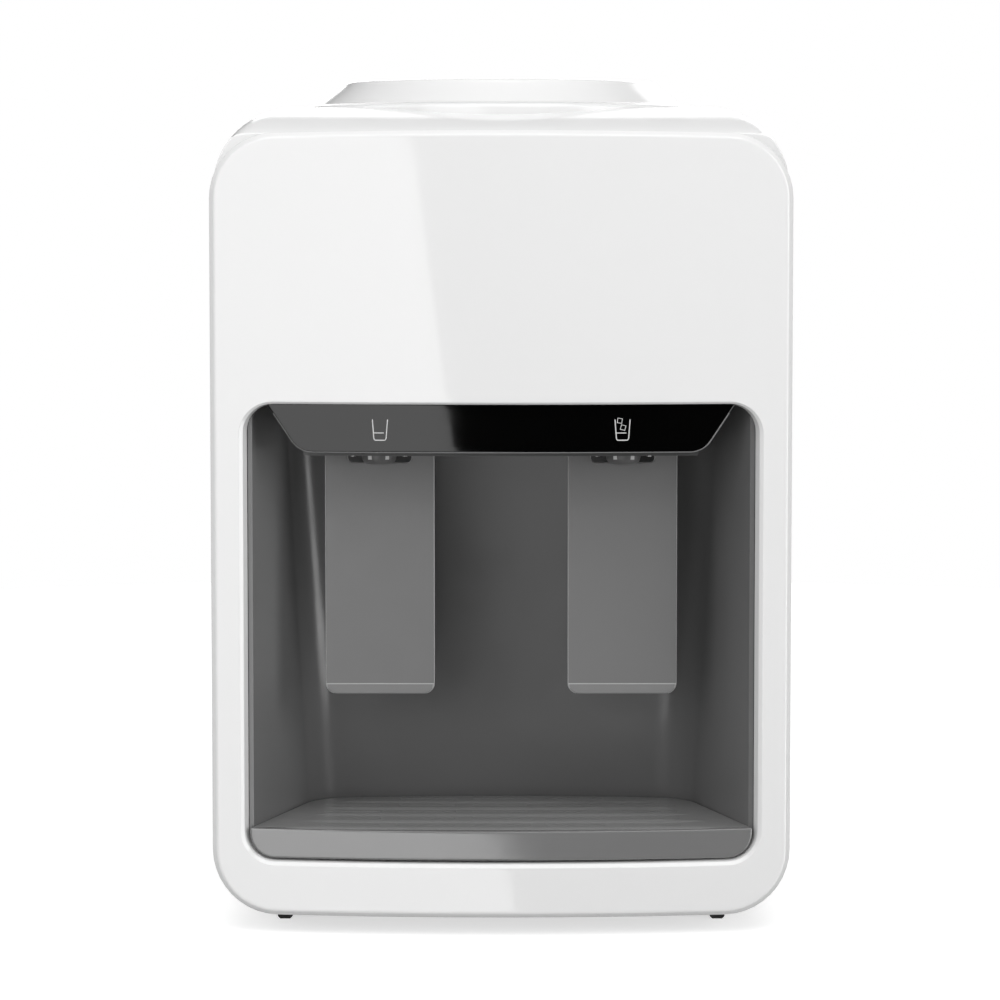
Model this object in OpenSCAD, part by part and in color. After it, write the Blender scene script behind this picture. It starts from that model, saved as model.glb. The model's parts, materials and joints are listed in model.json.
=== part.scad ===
// Countertop water dispenser for an inverted bottle: two push-paddle taps over
// a pull-out drip tray, a lift-out bottle funnel and a thermoelectric cooler.
// Frame: +Z up, the front faces -Y, +X is on the right of someone facing it.
// Origin: the centre of the overall box, at table height.

/* [Cabinet] */
// Width over the front panel
body_w = 290; // [288:1:294]
// Depth from the crown of the front panel to the end of the cord gland
body_d = 310; // [308:1:314]
// Height from the table to the rim of the bottle collar
body_h = 429; // [429:1:433]
// Height of the rubber feet
foot_h = 9.5; // [8.5:0.5:10.5]
// Wall of the front panel
panel_wall = 2.8; // [2.4:0.1:3]
// Wall of the other cabinet mouldings
shell_wall = 2.5; // [2.2:0.1:2.6]
// Corner radius of the front panel
panel_corner = 32.5; // [30:0.5:34]
// Radius of the bow of the front, seen from above
bow_r = 872; // [850:1:900]

/* [Bottle seat] */
// Inside radius of the collar, where the bottle's shoulder goes in
collar_bore_r = 74; // [73:0.5:74.5]
// Radius of the collar's upper rim
collar_rim_r = 83; // [82:0.5:84]
// Radius of the hollow probe that enters the bottle's cap
probe_r = 9; // [8:0.5:10]

/* [Taps] */
// Distance from the middle of the cabinet to each tap
tap_x = 61.4; // [60:0.2:63]
// Width of a push paddle
paddle_w = 55.4; // [52:0.2:56]
// Height of a paddle's lower edge
paddle_low_z = 116.7; // [110:1:125]
// Radius of a nozzle
nozzle_r = 8.75; // [8.25:0.25:9]

/* [Drip tray] */
// Height of the grille's upper face
grille_z = 52.9; // [52:0.1:53]
// Spacing of the grille's cross ribs
rib_pitch = 18.5; // [18:0.1:19]

/* [Cooler] */
// Outside radius of the cold tank
tank_r = 45; // [44:0.5:45]
// Width of the square fan
fan_w = 92; // [90:1:92]

/* [Hidden] */
$fn = 72;

// Levels
panel_top_z = body_h - 27;
shell_top_z = body_h - 14.5;
base_seam_z = foot_h + panel_corner;
mouth_low_z = 37.8;
mouth_high_z = 265.4;
ceiling_z = 268;

// Depths, with the crown of the front at -Y
front_y = -body_d / 2;
gland_proud = 3;
rear_y = body_d / 2 - gland_proud;
seam_y = front_y + 27;
panel_rear_y = front_y + 27.4;
lip_rear_y = front_y + 17;
liner_front_y = lip_rear_y + 0.5;

// Front mouth
mouth_half = 126.8;
mouth_corner = 13;
lip_wall = 2.4;
gap = 0.4;

// Cabinet outline
shell_half = body_w / 2 - 1;
shell_corner = 36;
shoulder_r = 130;

// Cavity liner
liner_wall = 2.2;
side_slope = 0.32;
cavity_half = 127.7;
cavity_front = 6.8;
cavity_depth = 113;
cavity_lean = 27 / 190;
cavity_corner = 25;
cavity_bow = 7;
window_half = 28.4;
corner_steps = 6;

// Header over the taps
strip_low_z = 242.5;
strip_recess = 3;
strip_wall = 2.2;
header_floor_z = 240.6;
header_wall = 2.4;
header_rear_y = front_y + 55;

// Taps
tap_y = front_y + 30;
hinge_y = front_y + 44;
hinge_z = 248;
axle_r = 1.55;
running_gap = 0.06;
paddle_y = front_y + 38;
paddle_wall = 2.2;
paddle_lip_h = 5.5;
notch_half = 16;
notch_z = 235;
tap_r = 10;
tap_low_z = 243;
tap_high_z = 262;
inlet_z = 255.5;
stem_r = 2;
cap_z = 269.4;
bar_z = 272;
nozzle_tip_z = 235;
seat_r = 4.5;

// Drip tray
tray_low_z = mouth_low_z + 0.3;
tray_recess = 3;
tray_half = 126;
tray_corner = 12.5;
tray_wall = 2;
tray_lip = 2.8;
grille_t = 2.5;
tray_depth = 106;

// Bottle seat
flange_r = 104.7;
cone_r = 96.4;
collar_skirt_z = 402;
collar_skirt_t = 3;
collar_step_z = 418.2;
rim_flare = 6;
funnel_bore_r = collar_bore_r - 2;
ledge_r = 66;
well_r = 31;
well_depth = 60;
funnel_seat_z = collar_skirt_z + 3.6;
funnel_rim_h = 9;
well_floor_z = funnel_seat_z - well_depth;
probe_top_z = funnel_seat_z - 10;

// Reservoir, its outlet to the cold tank and its outlet to the left tap
res_r = 77;
outlet_y = 20;
side_outlet = [-50, -20];
res_wall = 2;
res_low_z = 300;
res_high_z = 399;

// Cooler
tank_y = 28;
tank_low_z = 130;
tank_high_z = 250;
tank_wall = 1.2;
foam_r = 59;
block_y = tank_y + tank_r;
plate_y = block_y + 10;
sink_y = plate_y + 4;
fan_y = sink_y + 27;
fan_t = 25;
cool_z = 190;
hose_z = 150;
rotor_r = 41;
cover_y = rear_y - 4;
cover_wall = 2.5;
cover_face = cover_y + cover_wall;
bolt_x = 19.87;
sensor_x = 30;
sensor_z = 225;

// Electrics, low in the cabinet
floor_wall = 3;
board_z = foot_h + floor_wall + 6;
board_y = 20;
drain_z = 60;
vent_h = 3.5;
vent_pitch = 8;
gland_x = 95;
gland_z = 60;
gland_bore_r = 3.75;
switch_x = -95;
switch_z = 62.5;
pivot_y = cover_y - 4;
pivot_r = 1.2;

// Places under the floor
foot_x = 110.6;
foot_ys = [-98, 122];
floor_screw_x = 90;
floor_screw_ys = [-80, 100];

// ---- Outline helpers ----

// Arc that rounds the corner q between p and s
function fillet(p, q, s, r) =
    let (u = (p - q) / norm(p - q),
         v = (s - q) / norm(s - q),
         half = acos(u * v) / 2,
         c = q + (u + v) / norm(u + v) * r / sin(half),
         a = q + u * r / tan(half) - c,
         b = q + v * r / tan(half) - c,
         start = atan2(a[1], a[0]),
         raw = atan2(b[1], b[0]) - start,
         turn = raw > 180 ? raw - 360 : raw < -180 ? raw + 360 : raw)
    [for (i = [0:corner_steps])
        c + r * [cos(start + turn * i / corner_steps), sin(start + turn * i / corner_steps)]];

// Outline with its own radius at each corner
function rounded(points, radii) =
    let (n = len(points))
    [for (i = [0:n - 1])
        each (radii[i] > 0
            ? fillet(points[(i + n - 1) % n], points[i], points[(i + 1) % n], radii[i])
            : [points[i]])];

// Mirrors a right-hand half outline, listed from the front, to the left
function both_sides(half) =
    concat(half, [for (i = [len(half) - 1:-1:0]) if (half[i][0] > 0) [-half[i][0], half[i][1]]]);

// ---- Sweep helpers ----

function unit(v) = v / norm(v);
function tangent(p, i) = unit(p[min(i + 1, len(p) - 1)] - p[max(i - 1, 0)]);
function across(n, t) = unit(n - (n * t) * t);

// One steady sideways direction for every point of a path
function sideways(p) =
    [for (i = 0, n = across([0.3, 0.5, 0.8], tangent(p, 0)); i < len(p);
          i = i + 1, n = across(n, tangent(p, min(i, len(p) - 1)))) n];

// Path with soft bends that start d before each inner point
function soft_path(p, d, steps = 5) =
    concat([p[0]],
        [for (i = [1:len(p) - 2])
            let (a = p[i] + d * unit(p[i - 1] - p[i]),
                 b = p[i] + d * unit(p[i + 1] - p[i]))
            for (k = [0:steps])
                let (s = k / steps)
                (1 - s) * (1 - s) * a + 2 * s * (1 - s) * p[i] + s * s * b],
        [p[len(p) - 1]]);

// Round bar along a path
module bar_along(path, r, sides = 10) {
    n = len(path);
    side = sideways(path);
    points = [for (i = [0:n - 1])
        let (t = tangent(path, i), b = cross(t, side[i]))
        for (k = [0:sides - 1])
            path[i] + r * (cos(360 * k / sides) * side[i] + sin(360 * k / sides) * b)];
    wall_faces = [for (i = [0:n - 2], k = [0:sides - 1])
        [(i + 1) * sides + k, (i + 1) * sides + (k + 1) % sides,
         i * sides + (k + 1) % sides, i * sides + k]];
    start_face = [for (k = [0:sides - 1]) k];
    end_face = [for (k = [sides - 1:-1:0]) (n - 1) * sides + k];
    polyhedron(points, concat(wall_faces, [start_face, end_face]), convexity = 8);
}

// ---- Shape helpers ----

// Flat outline in X and Z, pulled from y0 to y1
module along_y(y0, y1) {
    translate([0, y1, 0])
        rotate([90, 0, 0])
            linear_extrude(y1 - y0)
                children();
}

// Flat outline in Y and Z, pulled from x0 to x1
module along_x(x0, x1) {
    translate([x0, 0, 0])
        rotate([90, 0, 90])
            linear_extrude(x1 - x0)
                children();
}

// Bar of round section from y0 to y1
module rod_y(x, z, r, y0, y1) {
    translate([x, y1, z])
        rotate([90, 0, 0])
            cylinder(r = r, h = y1 - y0);
}

// Bar of round section from x0 to x1
module rod_x(y, z, r, x0, x1) {
    translate([x0, y, z])
        rotate([0, 90, 0])
            cylinder(r = r, h = x1 - x0);
}

// Upright rod from z0 to z1
module rod_z(x, y, r, z0, z1) {
    translate([x, y, z0])
        cylinder(r = r, h = z1 - z0);
}

// Box between two corners
module block(low, high) {
    translate(low)
        cube(high - low);
}

// Upright outline, half wide each side, with its own lower and upper corner radius
module outline(half, z0, z1, low_r, high_r) {
    translate([-half, z0 + low_r])
        square([2 * half, z1 - z0 - low_r - high_r]);
    for (side = [-1, 1]) {
        translate([side * (half - low_r), z0 + low_r])
            circle(low_r);
        translate([side * (half - high_r), z1 - high_r])
            circle(high_r);
    }
    translate([low_r - half, z0])
        square([2 * (half - low_r), low_r]);
    translate([high_r - half, z1 - high_r])
        square([2 * (half - high_r), high_r]);
}

// Everything behind the bowed front surface, set back by inset
module behind_bow(inset, z0, z1) {
    translate([0, front_y + bow_r, z0])
        cylinder(r = bow_r - inset, h = z1 - z0, $fn = 720);
}

// One vent slot through the back cover, its lower edge at z
module vent(x, z, half_w) {
    block([x - half_w, cover_y - 1, z], [x + half_w, cover_face + 1, z + vent_h]);
}

// Vents stacked up the back cover from z0
module vent_stack(x, z0, count) {
    for (i = [0:count - 1])
        vent(x, z0 + vent_pitch * i, 22);
}

// ---- Cabinet ----

module front_panel() {
    inner = panel_corner - panel_wall;
    color("white")
        difference() {
            union() {
                difference() {
                    intersection() {
                        along_y(front_y - 1, panel_rear_y)
                            outline(body_w / 2, foot_h, panel_top_z, panel_corner, panel_corner);
                        behind_bow(0, 0, body_h);
                    }
                    intersection() {
                        along_y(front_y, panel_rear_y + 1)
                            outline(body_w / 2 - panel_wall, foot_h + panel_wall,
                                panel_top_z - panel_wall, inner, inner);
                        behind_bow(panel_wall, 0, body_h);
                    }
                }
                intersection() {
                    along_y(front_y, lip_rear_y)
                        outline(mouth_half + lip_wall, mouth_low_z - lip_wall,
                            mouth_high_z + lip_wall, mouth_corner + lip_wall, mouth_corner + lip_wall);
                    behind_bow(1, 0, body_h);
                }
            }
            along_y(front_y - 2, lip_rear_y + 1)
                outline(mouth_half, mouth_low_z, mouth_high_z, mouth_corner, mouth_corner);
        }
}

// Side view of the shell, set in by inset
module shell_profile(inset) {
    top = shell_top_z - inset;
    drop_run = sqrt(2 * shoulder_r * (shell_top_z - panel_top_z) - pow(shell_top_z - panel_top_z, 2));
    difference() {
        translate([seam_y - 1, foot_h + inset])
            square([rear_y - seam_y + 1, top - foot_h - inset]);
        difference() {
            translate([seam_y - 2, panel_top_z - 8])
                square([drop_run + 2, 40]);
            translate([seam_y + drop_run, shell_top_z - shoulder_r])
                circle(shoulder_r - inset, $fn = 360);
        }
    }
}

// Solid form of the cabinet behind the front panel, set in by inset
module shell_form(inset, y0, y1) {
    intersection() {
        along_y(y0, y1)
            outline(shell_half - inset, foot_h + inset, shell_top_z - inset,
                panel_corner - inset, shell_corner - inset);
        along_x(-body_w, body_w)
            shell_profile(inset);
    }
}

module body_shell() {
    color("white")
        difference() {
            shell_form(0, seam_y + gap, rear_y);
            shell_form(shell_wall, seam_y - 1, rear_y + 1);
            block([-body_w, front_y, 0], [body_w, rear_y + 1, base_seam_z + gap]);
            rod_z(0, 0, res_r + 2, shell_top_z - 20, shell_top_z + 1);
        }
    color("white")
        difference() {
            shell_form(0, seam_y + gap, seam_y + gap + shell_wall);
            along_y(seam_y, seam_y + 10)
                outline(shell_half - 12, foot_h, panel_top_z - 12, 24, 24);
            block([-body_w, front_y, 0], [body_w, rear_y + 1, base_seam_z + gap]);
        }
}

module base_tub() {
    color("white")
        difference() {
            intersection() {
                shell_form(0, seam_y + gap, rear_y);
                block([-body_w, front_y, 0], [body_w, rear_y, base_seam_z]);
            }
            difference() {
                shell_form(shell_wall, seam_y - 1, rear_y + 1);
                block([-body_w, front_y, 0], [body_w, rear_y + 1, foot_h + floor_wall]);
            }
            for (i = [0:6])
                translate([0, 94 + 7 * i, 0])
                    block([-70, 0, foot_h - 1], [70, 3, foot_h + floor_wall + 1]);
            for (side = [-1, 1], y = foot_ys)
                translate([side * foot_x, y, 0])
                    block([-2.1, -6.1, foot_h - 1], [2.1, 6.1, foot_h + floor_wall + 1]);
            for (side = [-1, 1], y = floor_screw_ys)
                rod_z(side * floor_screw_x, y, 2.1, foot_h - 1, foot_h + floor_wall + 1);
        }
}

module feet() {
    chamfer = 1.2;
    half = 3.75;
    color("dimgray")
        for (side = [-1, 1], y = foot_ys)
            translate([side * foot_x, 0, 0]) {
                along_y(y - 12, y + 12)
                    polygon([[chamfer - half, 0], [half - chamfer, 0], [half, chamfer],
                        [half, foot_h], [-half, foot_h], [-half, chamfer]]);
                block([-2, y - 6, foot_h - 1], [2, y + 6, foot_h + floor_wall]);
            }
}

module back_cover() {
    half = shell_half - shell_wall - gap;
    inset = shell_wall + gap;
    color("gainsboro")
        difference() {
            along_y(cover_y, cover_y + cover_wall)
                outline(half, foot_h + floor_wall + gap, shell_top_z - inset,
                    panel_corner - inset, shell_corner - inset);
            for (i = [0:9]) {
                z = cool_z - 38 + vent_pitch * i;
                vent(0, z, sqrt(pow(rotor_r + 2, 2) - pow(z + vent_h / 2 - cool_z, 2)));
            }
            for (side = [-1, 1]) {
                vent_stack(side * 90, 300, 8);
                vent_stack(side * 90, 130, 6);
            }
            rod_y(gland_x, gland_z, 6.05, cover_y - 1, cover_face + 1);
            rod_y(0, drain_z, 8.6, cover_y - 1, cover_face + 1);
            translate([switch_x, 0, switch_z])
                block([-9.2, cover_y - 1, -12.7], [9.2, cover_face + 1, 12.7]);
            back_screw_places()
                rod_y(0, 0, 1.7, cover_y - 1, cover_face + 1);
        }
}

module back_screw_places() {
    for (x = [-1, 1], z = [30, 210, 395])
        translate([x * (z > 300 ? 104 : 133), 0, z])
            children();
}

// Pan-head screw that points along -Y, its head's underside at y = 0
module screw_y(head_r, shank_r, length) {
    rod_y(0, 0, head_r, 0, 1.2);
    rod_y(0, 0, shank_r, -length, 0.1);
}

module back_screws() {
    color("silver")
        back_screw_places()
            translate([0, cover_face, 0])
                screw_y(3.2, 1.6, 8);
}

module base_screws() {
    color("silver")
        for (side = [-1, 1], y = floor_screw_ys) {
            rod_z(side * floor_screw_x, y, 3.6, foot_h - 1.4, foot_h);
            rod_z(side * floor_screw_x, y, 2, foot_h - 0.1, foot_h + 12);
        }
}

// ---- Bottle seat ----

module bottle_collar() {
    rim_z = body_h;
    skirt_r = funnel_bore_r + collar_skirt_t;
    color("white")
        difference() {
            rotate_extrude()
                polygon([[ledge_r, collar_skirt_z], [skirt_r, collar_skirt_z],
                    [skirt_r, shell_top_z - 8], [flange_r, shell_top_z - 8],
                    [flange_r, shell_top_z + 1.6], [cone_r, shell_top_z + 2.4],
                    [collar_rim_r + 0.6, rim_z - 2], [collar_rim_r - 1, rim_z],
                    [collar_bore_r + 4, rim_z], [collar_bore_r, rim_z - rim_flare],
                    [collar_bore_r, collar_step_z], [funnel_bore_r, collar_step_z],
                    [funnel_bore_r, collar_skirt_z + 2], [ledge_r, collar_skirt_z + 2]]);
            difference() {
                shell_form(-0.02, seam_y, rear_y);
                rod_z(0, 0, skirt_r, collar_skirt_z - 5, body_h);
            }
        }
}

module bottle_funnel() {
    wall_r = funnel_bore_r - 0.5;
    seat_z = funnel_seat_z;
    rim_z = seat_z + funnel_rim_h;
    color("whitesmoke")
        difference() {
            rotate_extrude()
                polygon([[wall_r, seat_z], [wall_r, rim_z], [wall_r - 2, rim_z],
                    [wall_r - 2, seat_z + 2], [well_r, seat_z - 9], [well_r, well_floor_z],
                    [probe_r + 1.6, well_floor_z], [probe_r + 1.6, well_floor_z - 2],
                    [well_r + 2, well_floor_z - 2], [well_r + 2, seat_z - 10.5], [wall_r - 6, seat_z]]);
            for (i = [0:5])
                rotate([0, 0, 60 * i])
                    rod_z(22, 0, 5, well_floor_z - 3, well_floor_z + 1);
        }
}

module bottle_probe() {
    foot_z = well_floor_z + 0.1;
    color("lightsteelblue")
        difference() {
            union() {
                rod_z(0, 0, probe_r + 1.5, foot_z - 6, foot_z + 1);
                rod_z(0, 0, probe_r + 4, foot_z, foot_z + 2);
                rod_z(0, 0, probe_r, foot_z, probe_top_z - probe_r);
                translate([0, 0, probe_top_z - probe_r])
                    sphere(probe_r);
            }
            rod_z(0, 0, probe_r - 2, foot_z - 7, probe_top_z - probe_r);
            for (turn = [0, 90])
                rotate([0, 0, turn])
                    rod_x(0, probe_top_z - probe_r - 5, 2.5, -probe_r - 1, probe_r + 1);
        }
}

module funnel_seal() {
    color("slategray")
        rotate_extrude()
            translate([(ledge_r + funnel_bore_r) / 2 - 0.6, collar_skirt_z + 2.8])
                circle(0.78, $fn = 24);
}

module reservoir() {
    inside = res_low_z + res_wall;
    color("aliceblue")
        difference() {
            union() {
                rotate_extrude()
                    polygon([[0, res_low_z], [res_r - 8, res_low_z], [res_r, res_low_z + 8],
                        [res_r, res_high_z], [res_r - res_wall, res_high_z],
                        [res_r - res_wall, res_low_z + 9], [res_r - 9, inside],
                        [0, inside]]);
                rod_z(0, outlet_y, 8, res_low_z - 8, res_low_z + 1);
                rod_z(side_outlet[0], side_outlet[1], 6, res_low_z - 12, res_low_z + 1);
            }
            rod_z(0, outlet_y, 6.05, res_low_z - 9, inside + 1);
            rod_z(side_outlet[0], side_outlet[1], 3, res_low_z - 13, inside + 1);
        }
}

module reservoir_shelf() {
    high = res_low_z - 0.1;
    reach = shell_half - shell_wall - gap;
    color("lightgray")
        difference() {
            union() {
                block([-reach, -74, high - 2.4], [reach, 84, high]);
                for (y = [-74, 81.6])
                    block([-reach, y, high - 12], [reach, y + 2.4, high]);
            }
            rod_z(0, outlet_y, 9, high - 5, high + 1);
            rod_z(side_outlet[0], side_outlet[1], 9, high - 5, high + 1);
        }
}

// ---- Dispensing cavity ----

// Plan of the cavity at height z, made larger by grow
function cavity_plan(z, grow) =
    let (depth = cavity_depth - cavity_lean * (z - grille_z) + grow,
         side = cavity_half - side_slope * (depth - cavity_bow - cavity_front) + grow,
         mouth = cavity_half - side_slope * (liner_front_y - front_y - 1 - cavity_front) + grow,
         half = [[mouth, liner_front_y - 1], [side, front_y + depth - cavity_bow],
             [0, front_y + depth]],
         r = cavity_corner + grow)
    rounded(both_sides(half), [0, r, 700, r, 0]);

// Cavity form between two heights, made larger by grow
module cavity_form(z0, z1, grow) {
    hull() {
        translate([0, 0, z0])
            linear_extrude(0.01)
                polygon(cavity_plan(z0, grow));
        translate([0, 0, z1 - 0.01])
            linear_extrude(0.01)
                polygon(cavity_plan(z1, grow));
    }
}

module cavity_liner() {
    low = mouth_low_z - liner_wall;
    high = ceiling_z + liner_wall;
    color("dimgray")
        difference() {
            union() {
                intersection() {
                    cavity_form(low, high, liner_wall);
                    block([-body_w, liner_front_y, 0], [body_w, rear_y, body_h]);
                }
                along_y(liner_front_y, liner_front_y + 2)
                    outline(mouth_half + 7, mouth_low_z - 7, mouth_high_z + 9,
                        mouth_corner + 6, mouth_corner + 6);
            }
            cavity_form(mouth_low_z, ceiling_z, 0);
            for (side = [-1, 1]) {
                translate([side * tap_x, front_y, ceiling_z])
                    block([-window_half, 21, -1], [window_half, 56, 4]);
                rod_y(side * tap_x, inlet_z, 5, front_y + 70, front_y + 100);
            }
        }
}

// Front view of the header, tapered in towards its lower edge, drawn in by inset
function header_outline(inset) =
    let (slope = 0.67,
         top = mouth_high_z - 0.3,
         half = 115.6 - inset)
    rounded([[-half, top], [-half + slope * (top - strip_low_z - inset), strip_low_z + inset],
        [half - slope * (top - strip_low_z - inset), strip_low_z + inset], [half, top]],
        [0, 12.5 - inset, 12.5 - inset, 0]);

module header_strip() {
    color([0.04, 0.04, 0.045])
        intersection() {
            along_y(front_y, front_y + 20)
                polygon(header_outline(0));
            difference() {
                behind_bow(strip_recess, 0, body_h);
                behind_bow(strip_recess + strip_wall, -1, body_h + 1);
            }
        }
}

module header_frame() {
    face = strip_recess + strip_wall;
    floor_top = header_floor_z + header_wall;
    color([0.2, 0.2, 0.21])
        difference() {
            union() {
                intersection() {
                    along_y(front_y, front_y + 22)
                        polygon(header_outline(0));
                    difference() {
                        behind_bow(face, 0, body_h);
                        behind_bow(face + header_wall, -1, body_h + 1);
                    }
                }
                intersection() {
                    block([-98, front_y, header_floor_z], [98, header_rear_y, floor_top]);
                    behind_bow(face, 0, body_h);
                }
                for (side = [-1, 1]) {
                    for (x = [side * tap_x - paddle_w / 2 - 5.4, side * tap_x + paddle_w / 2 + 1.6])
                        block([x, hinge_y - 4, header_floor_z], [x + 3.8, hinge_y + 4, hinge_z + 5]);
                    for (y = [front_y + 20, header_rear_y - 8])
                        block([side * 94 - 4, y, header_floor_z], [side * 94 + 4, y + 8, ceiling_z]);
                }
            }
            for (side = [-1, 1]) {
                difference() {
                    block([side * tap_x - paddle_w / 2 - 1, paddle_y - 2, header_floor_z - 1],
                        [side * tap_x + paddle_w / 2 + 1, header_rear_y + 1, floor_top + 1]);
                    block([side * tap_x - 13, paddle_y - 4, header_floor_z - 2],
                        [side * tap_x + 13, tap_y + 12, floor_top + 2]);
                }
                rod_z(side * tap_x, tap_y, nozzle_r + 0.3, header_floor_z - 1, floor_top + 1);
                rod_x(hinge_y, hinge_z, axle_r + 0.02,
                    side * tap_x - paddle_w / 2 - 6, side * tap_x + paddle_w / 2 + 6);
                for (turn = [-1, 1])
                    rod_z(side * tap_x + turn * 13, tap_y, 1.3, header_floor_z - 1, floor_top + 1);
            }
        }
}

module header_screws() {
    color("silver")
        for (side = [-1, 1], turn = [-1, 1]) {
            rod_z(side * tap_x + turn * 13, tap_y, 2.4, tap_low_z + 2.5, tap_low_z + 4);
            rod_z(side * tap_x + turn * 13, tap_y, 1.25, header_floor_z - 2, tap_low_z + 2.6);
        }
}

// ---- Taps ----

module tap_body(side) {
    color("white")
        translate([side * tap_x, tap_y, 0])
            difference() {
                union() {
                    rod_z(0, 0, tap_r, tap_low_z, tap_high_z);
                    for (turn = [-1, 1])
                        rod_z(turn * 13, 0, 4, tap_low_z, tap_low_z + 2.5);
                    block([-13, -4, tap_low_z], [13, 4, tap_low_z + 2.5]);
                    rod_y(0, inlet_z, 4, 0, 28);
                }
                rod_z(0, 0, seat_r, tap_low_z - 1, tap_low_z + 4);
                rod_z(0, 0, tap_r - 3, tap_low_z + 3, tap_high_z - 2.5);
                rod_z(0, 0, stem_r + running_gap, tap_high_z - 3, tap_high_z + 1);
                rod_y(0, inlet_z, 2.6, 4, 29);
                for (turn = [-1, 1])
                    rod_z(turn * 13, 0, 1.3, tap_low_z - 1, tap_low_z + 4);
            }
}

module nozzle(side) {
    color("gray")
        translate([side * tap_x, tap_y, 0])
            difference() {
                rod_z(0, 0, nozzle_r, nozzle_tip_z, tap_low_z);
                rod_z(0, 0, nozzle_r - 1.8, nozzle_tip_z + 2.3, tap_low_z + 1);
                difference() {
                    rod_z(0, 0, 5, nozzle_tip_z - 1, nozzle_tip_z + 3);
                    for (turn = [0, 90])
                        rotate([0, 0, turn])
                            block([-6, -0.5, nozzle_tip_z - 2], [6, 0.5, nozzle_tip_z + 4]);
                }
            }
}

module plunger(side) {
    color("white")
        translate([side * tap_x, tap_y, 0]) {
            rod_z(0, 0, stem_r, tap_low_z - 1, cap_z + 0.2);
            rod_z(0, 0, 4, cap_z, bar_z - 0.3);
        }
}

module plunger_spring(side) {
    turns = 4;
    steps = 14;
    wire_r = 0.35;
    low = tap_high_z + wire_r + 0.05;
    high = cap_z - wire_r - 0.05;
    color("silver")
        translate([side * tap_x, tap_y, 0])
            bar_along([for (i = [0:turns * steps])
                [3.2 * cos(360 * i / steps), 3.2 * sin(360 * i / steps),
                 low + (high - low) * i / (turns * steps)]], wire_r, 6);
}

module valve_seal(side) {
    color("slategray")
        translate([side * tap_x, tap_y, 0])
            difference() {
                rod_z(0, 0, 6, tap_low_z - 2.4, tap_low_z - 0.1);
                rod_z(0, 0, stem_r, tap_low_z - 1, tap_low_z + 1);
            }
}

// Side view of the arm that carries the hinge and the bar over the plunger
module paddle_arm() {
    difference() {
        union() {
            polygon([[paddle_y, notch_z - 3], [hinge_y + 3.6, notch_z - 3], [hinge_y + 4.4, hinge_z],
                [hinge_y - 1, hinge_z + 6], [tap_y + 1.5, bar_z], [tap_y + 1.5, bar_z + 3],
                [tap_y - 1.5, bar_z + 3], [tap_y - 1.5, bar_z], [paddle_y - 0.6, hinge_z + 5],
                [paddle_y, hinge_z - 3]]);
            translate([hinge_y, hinge_z])
                circle(4.4);
        }
        translate([hinge_y, hinge_z])
            circle(axle_r + running_gap);
    }
}

module paddle(side) {
    half = paddle_w / 2;
    junction_z = paddle_low_z + paddle_lip_h;
    color([0.42, 0.42, 0.43])
        translate([side * tap_x, 0, 0]) {
            difference() {
                union() {
                    along_y(paddle_y, paddle_y + paddle_wall)
                        translate([-half, junction_z])
                            square([paddle_w, hinge_z - 8 - junction_z]);
                    intersection() {
                        along_x(-half, half)
                            polygon([[paddle_y, junction_z], [paddle_y + 3.2, paddle_low_z],
                                [paddle_y + 5.4, paddle_low_z + 0.6],
                                [paddle_y + paddle_wall, junction_z]]);
                        along_y(paddle_y - 1, paddle_y + 8)
                            outline(half, paddle_low_z - 1, hinge_z, 5.6, 1);
                    }
                    for (turn = [-1, 1])
                        along_x(turn > 0 ? half - 1.8 : -half, turn > 0 ? half : 1.8 - half)
                            polygon([[paddle_y, junction_z], [paddle_y + 9, junction_z + 8],
                                [paddle_y + 9, hinge_z - 8], [paddle_y, hinge_z - 8]]);
                }
                along_y(paddle_y - 1, paddle_y + 12)
                    outline(notch_half, notch_z, hinge_z + 20, 2.2, 1);
            }
            for (turn = [-1, 1])
                along_x(turn > 0 ? notch_half + 2 : -half + 0.6, turn > 0 ? half - 0.6 : -notch_half - 2)
                    paddle_arm();
            block([-notch_half - 3, tap_y - 1.5, bar_z], [notch_half + 3, tap_y + 1.5, bar_z + 3]);
        }
}

module paddle_axle(side) {
    reach = paddle_w / 2 + 5.2;
    color("silver")
        rod_x(hinge_y, hinge_z, axle_r, side * tap_x - reach, side * tap_x + reach);
}

module feed_hose(side) {
    start = [side * tap_x, tap_y + 28.3, inlet_z];
    left_path = [start, [-tap_x, -30, inlet_z], [-50, -20, 268],
        [-50, -20, res_low_z - 12.3]];
    wall_y = tank_y - tank_r;
    right_path = [start, [tap_x, -20, inlet_z], [tap_x + 6, wall_y - 7, 200],
        [tap_x + 6, wall_y - 7, hose_z], [14, wall_y - 7, hose_z], [14, wall_y + 0.8, hose_z]];
    color("white")
        bar_along(soft_path(side < 0 ? left_path : right_path, 4), 3.6);
}

// ---- Drip tray ----

// Plan of the tray, its front cut off later by the bow, drawn in by inset
function tray_plan(inset) =
    let (depth = tray_depth - inset,
         side = tray_half - side_slope * (depth - cavity_bow - 9) - inset,
         half = [[tray_half - inset, front_y + 9], [side, front_y + depth - cavity_bow],
             [0, front_y + depth]],
         r = cavity_corner - inset)
    rounded(concat([[tray_half - inset, front_y]], both_sides(half), [[inset - tray_half, front_y]]),
        [0, 0, r, 700, r, 0, 0]);

module tray_front_outline() {
    outline(tray_half, tray_low_z, grille_z + 10, tray_corner, 1);
}

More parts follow.
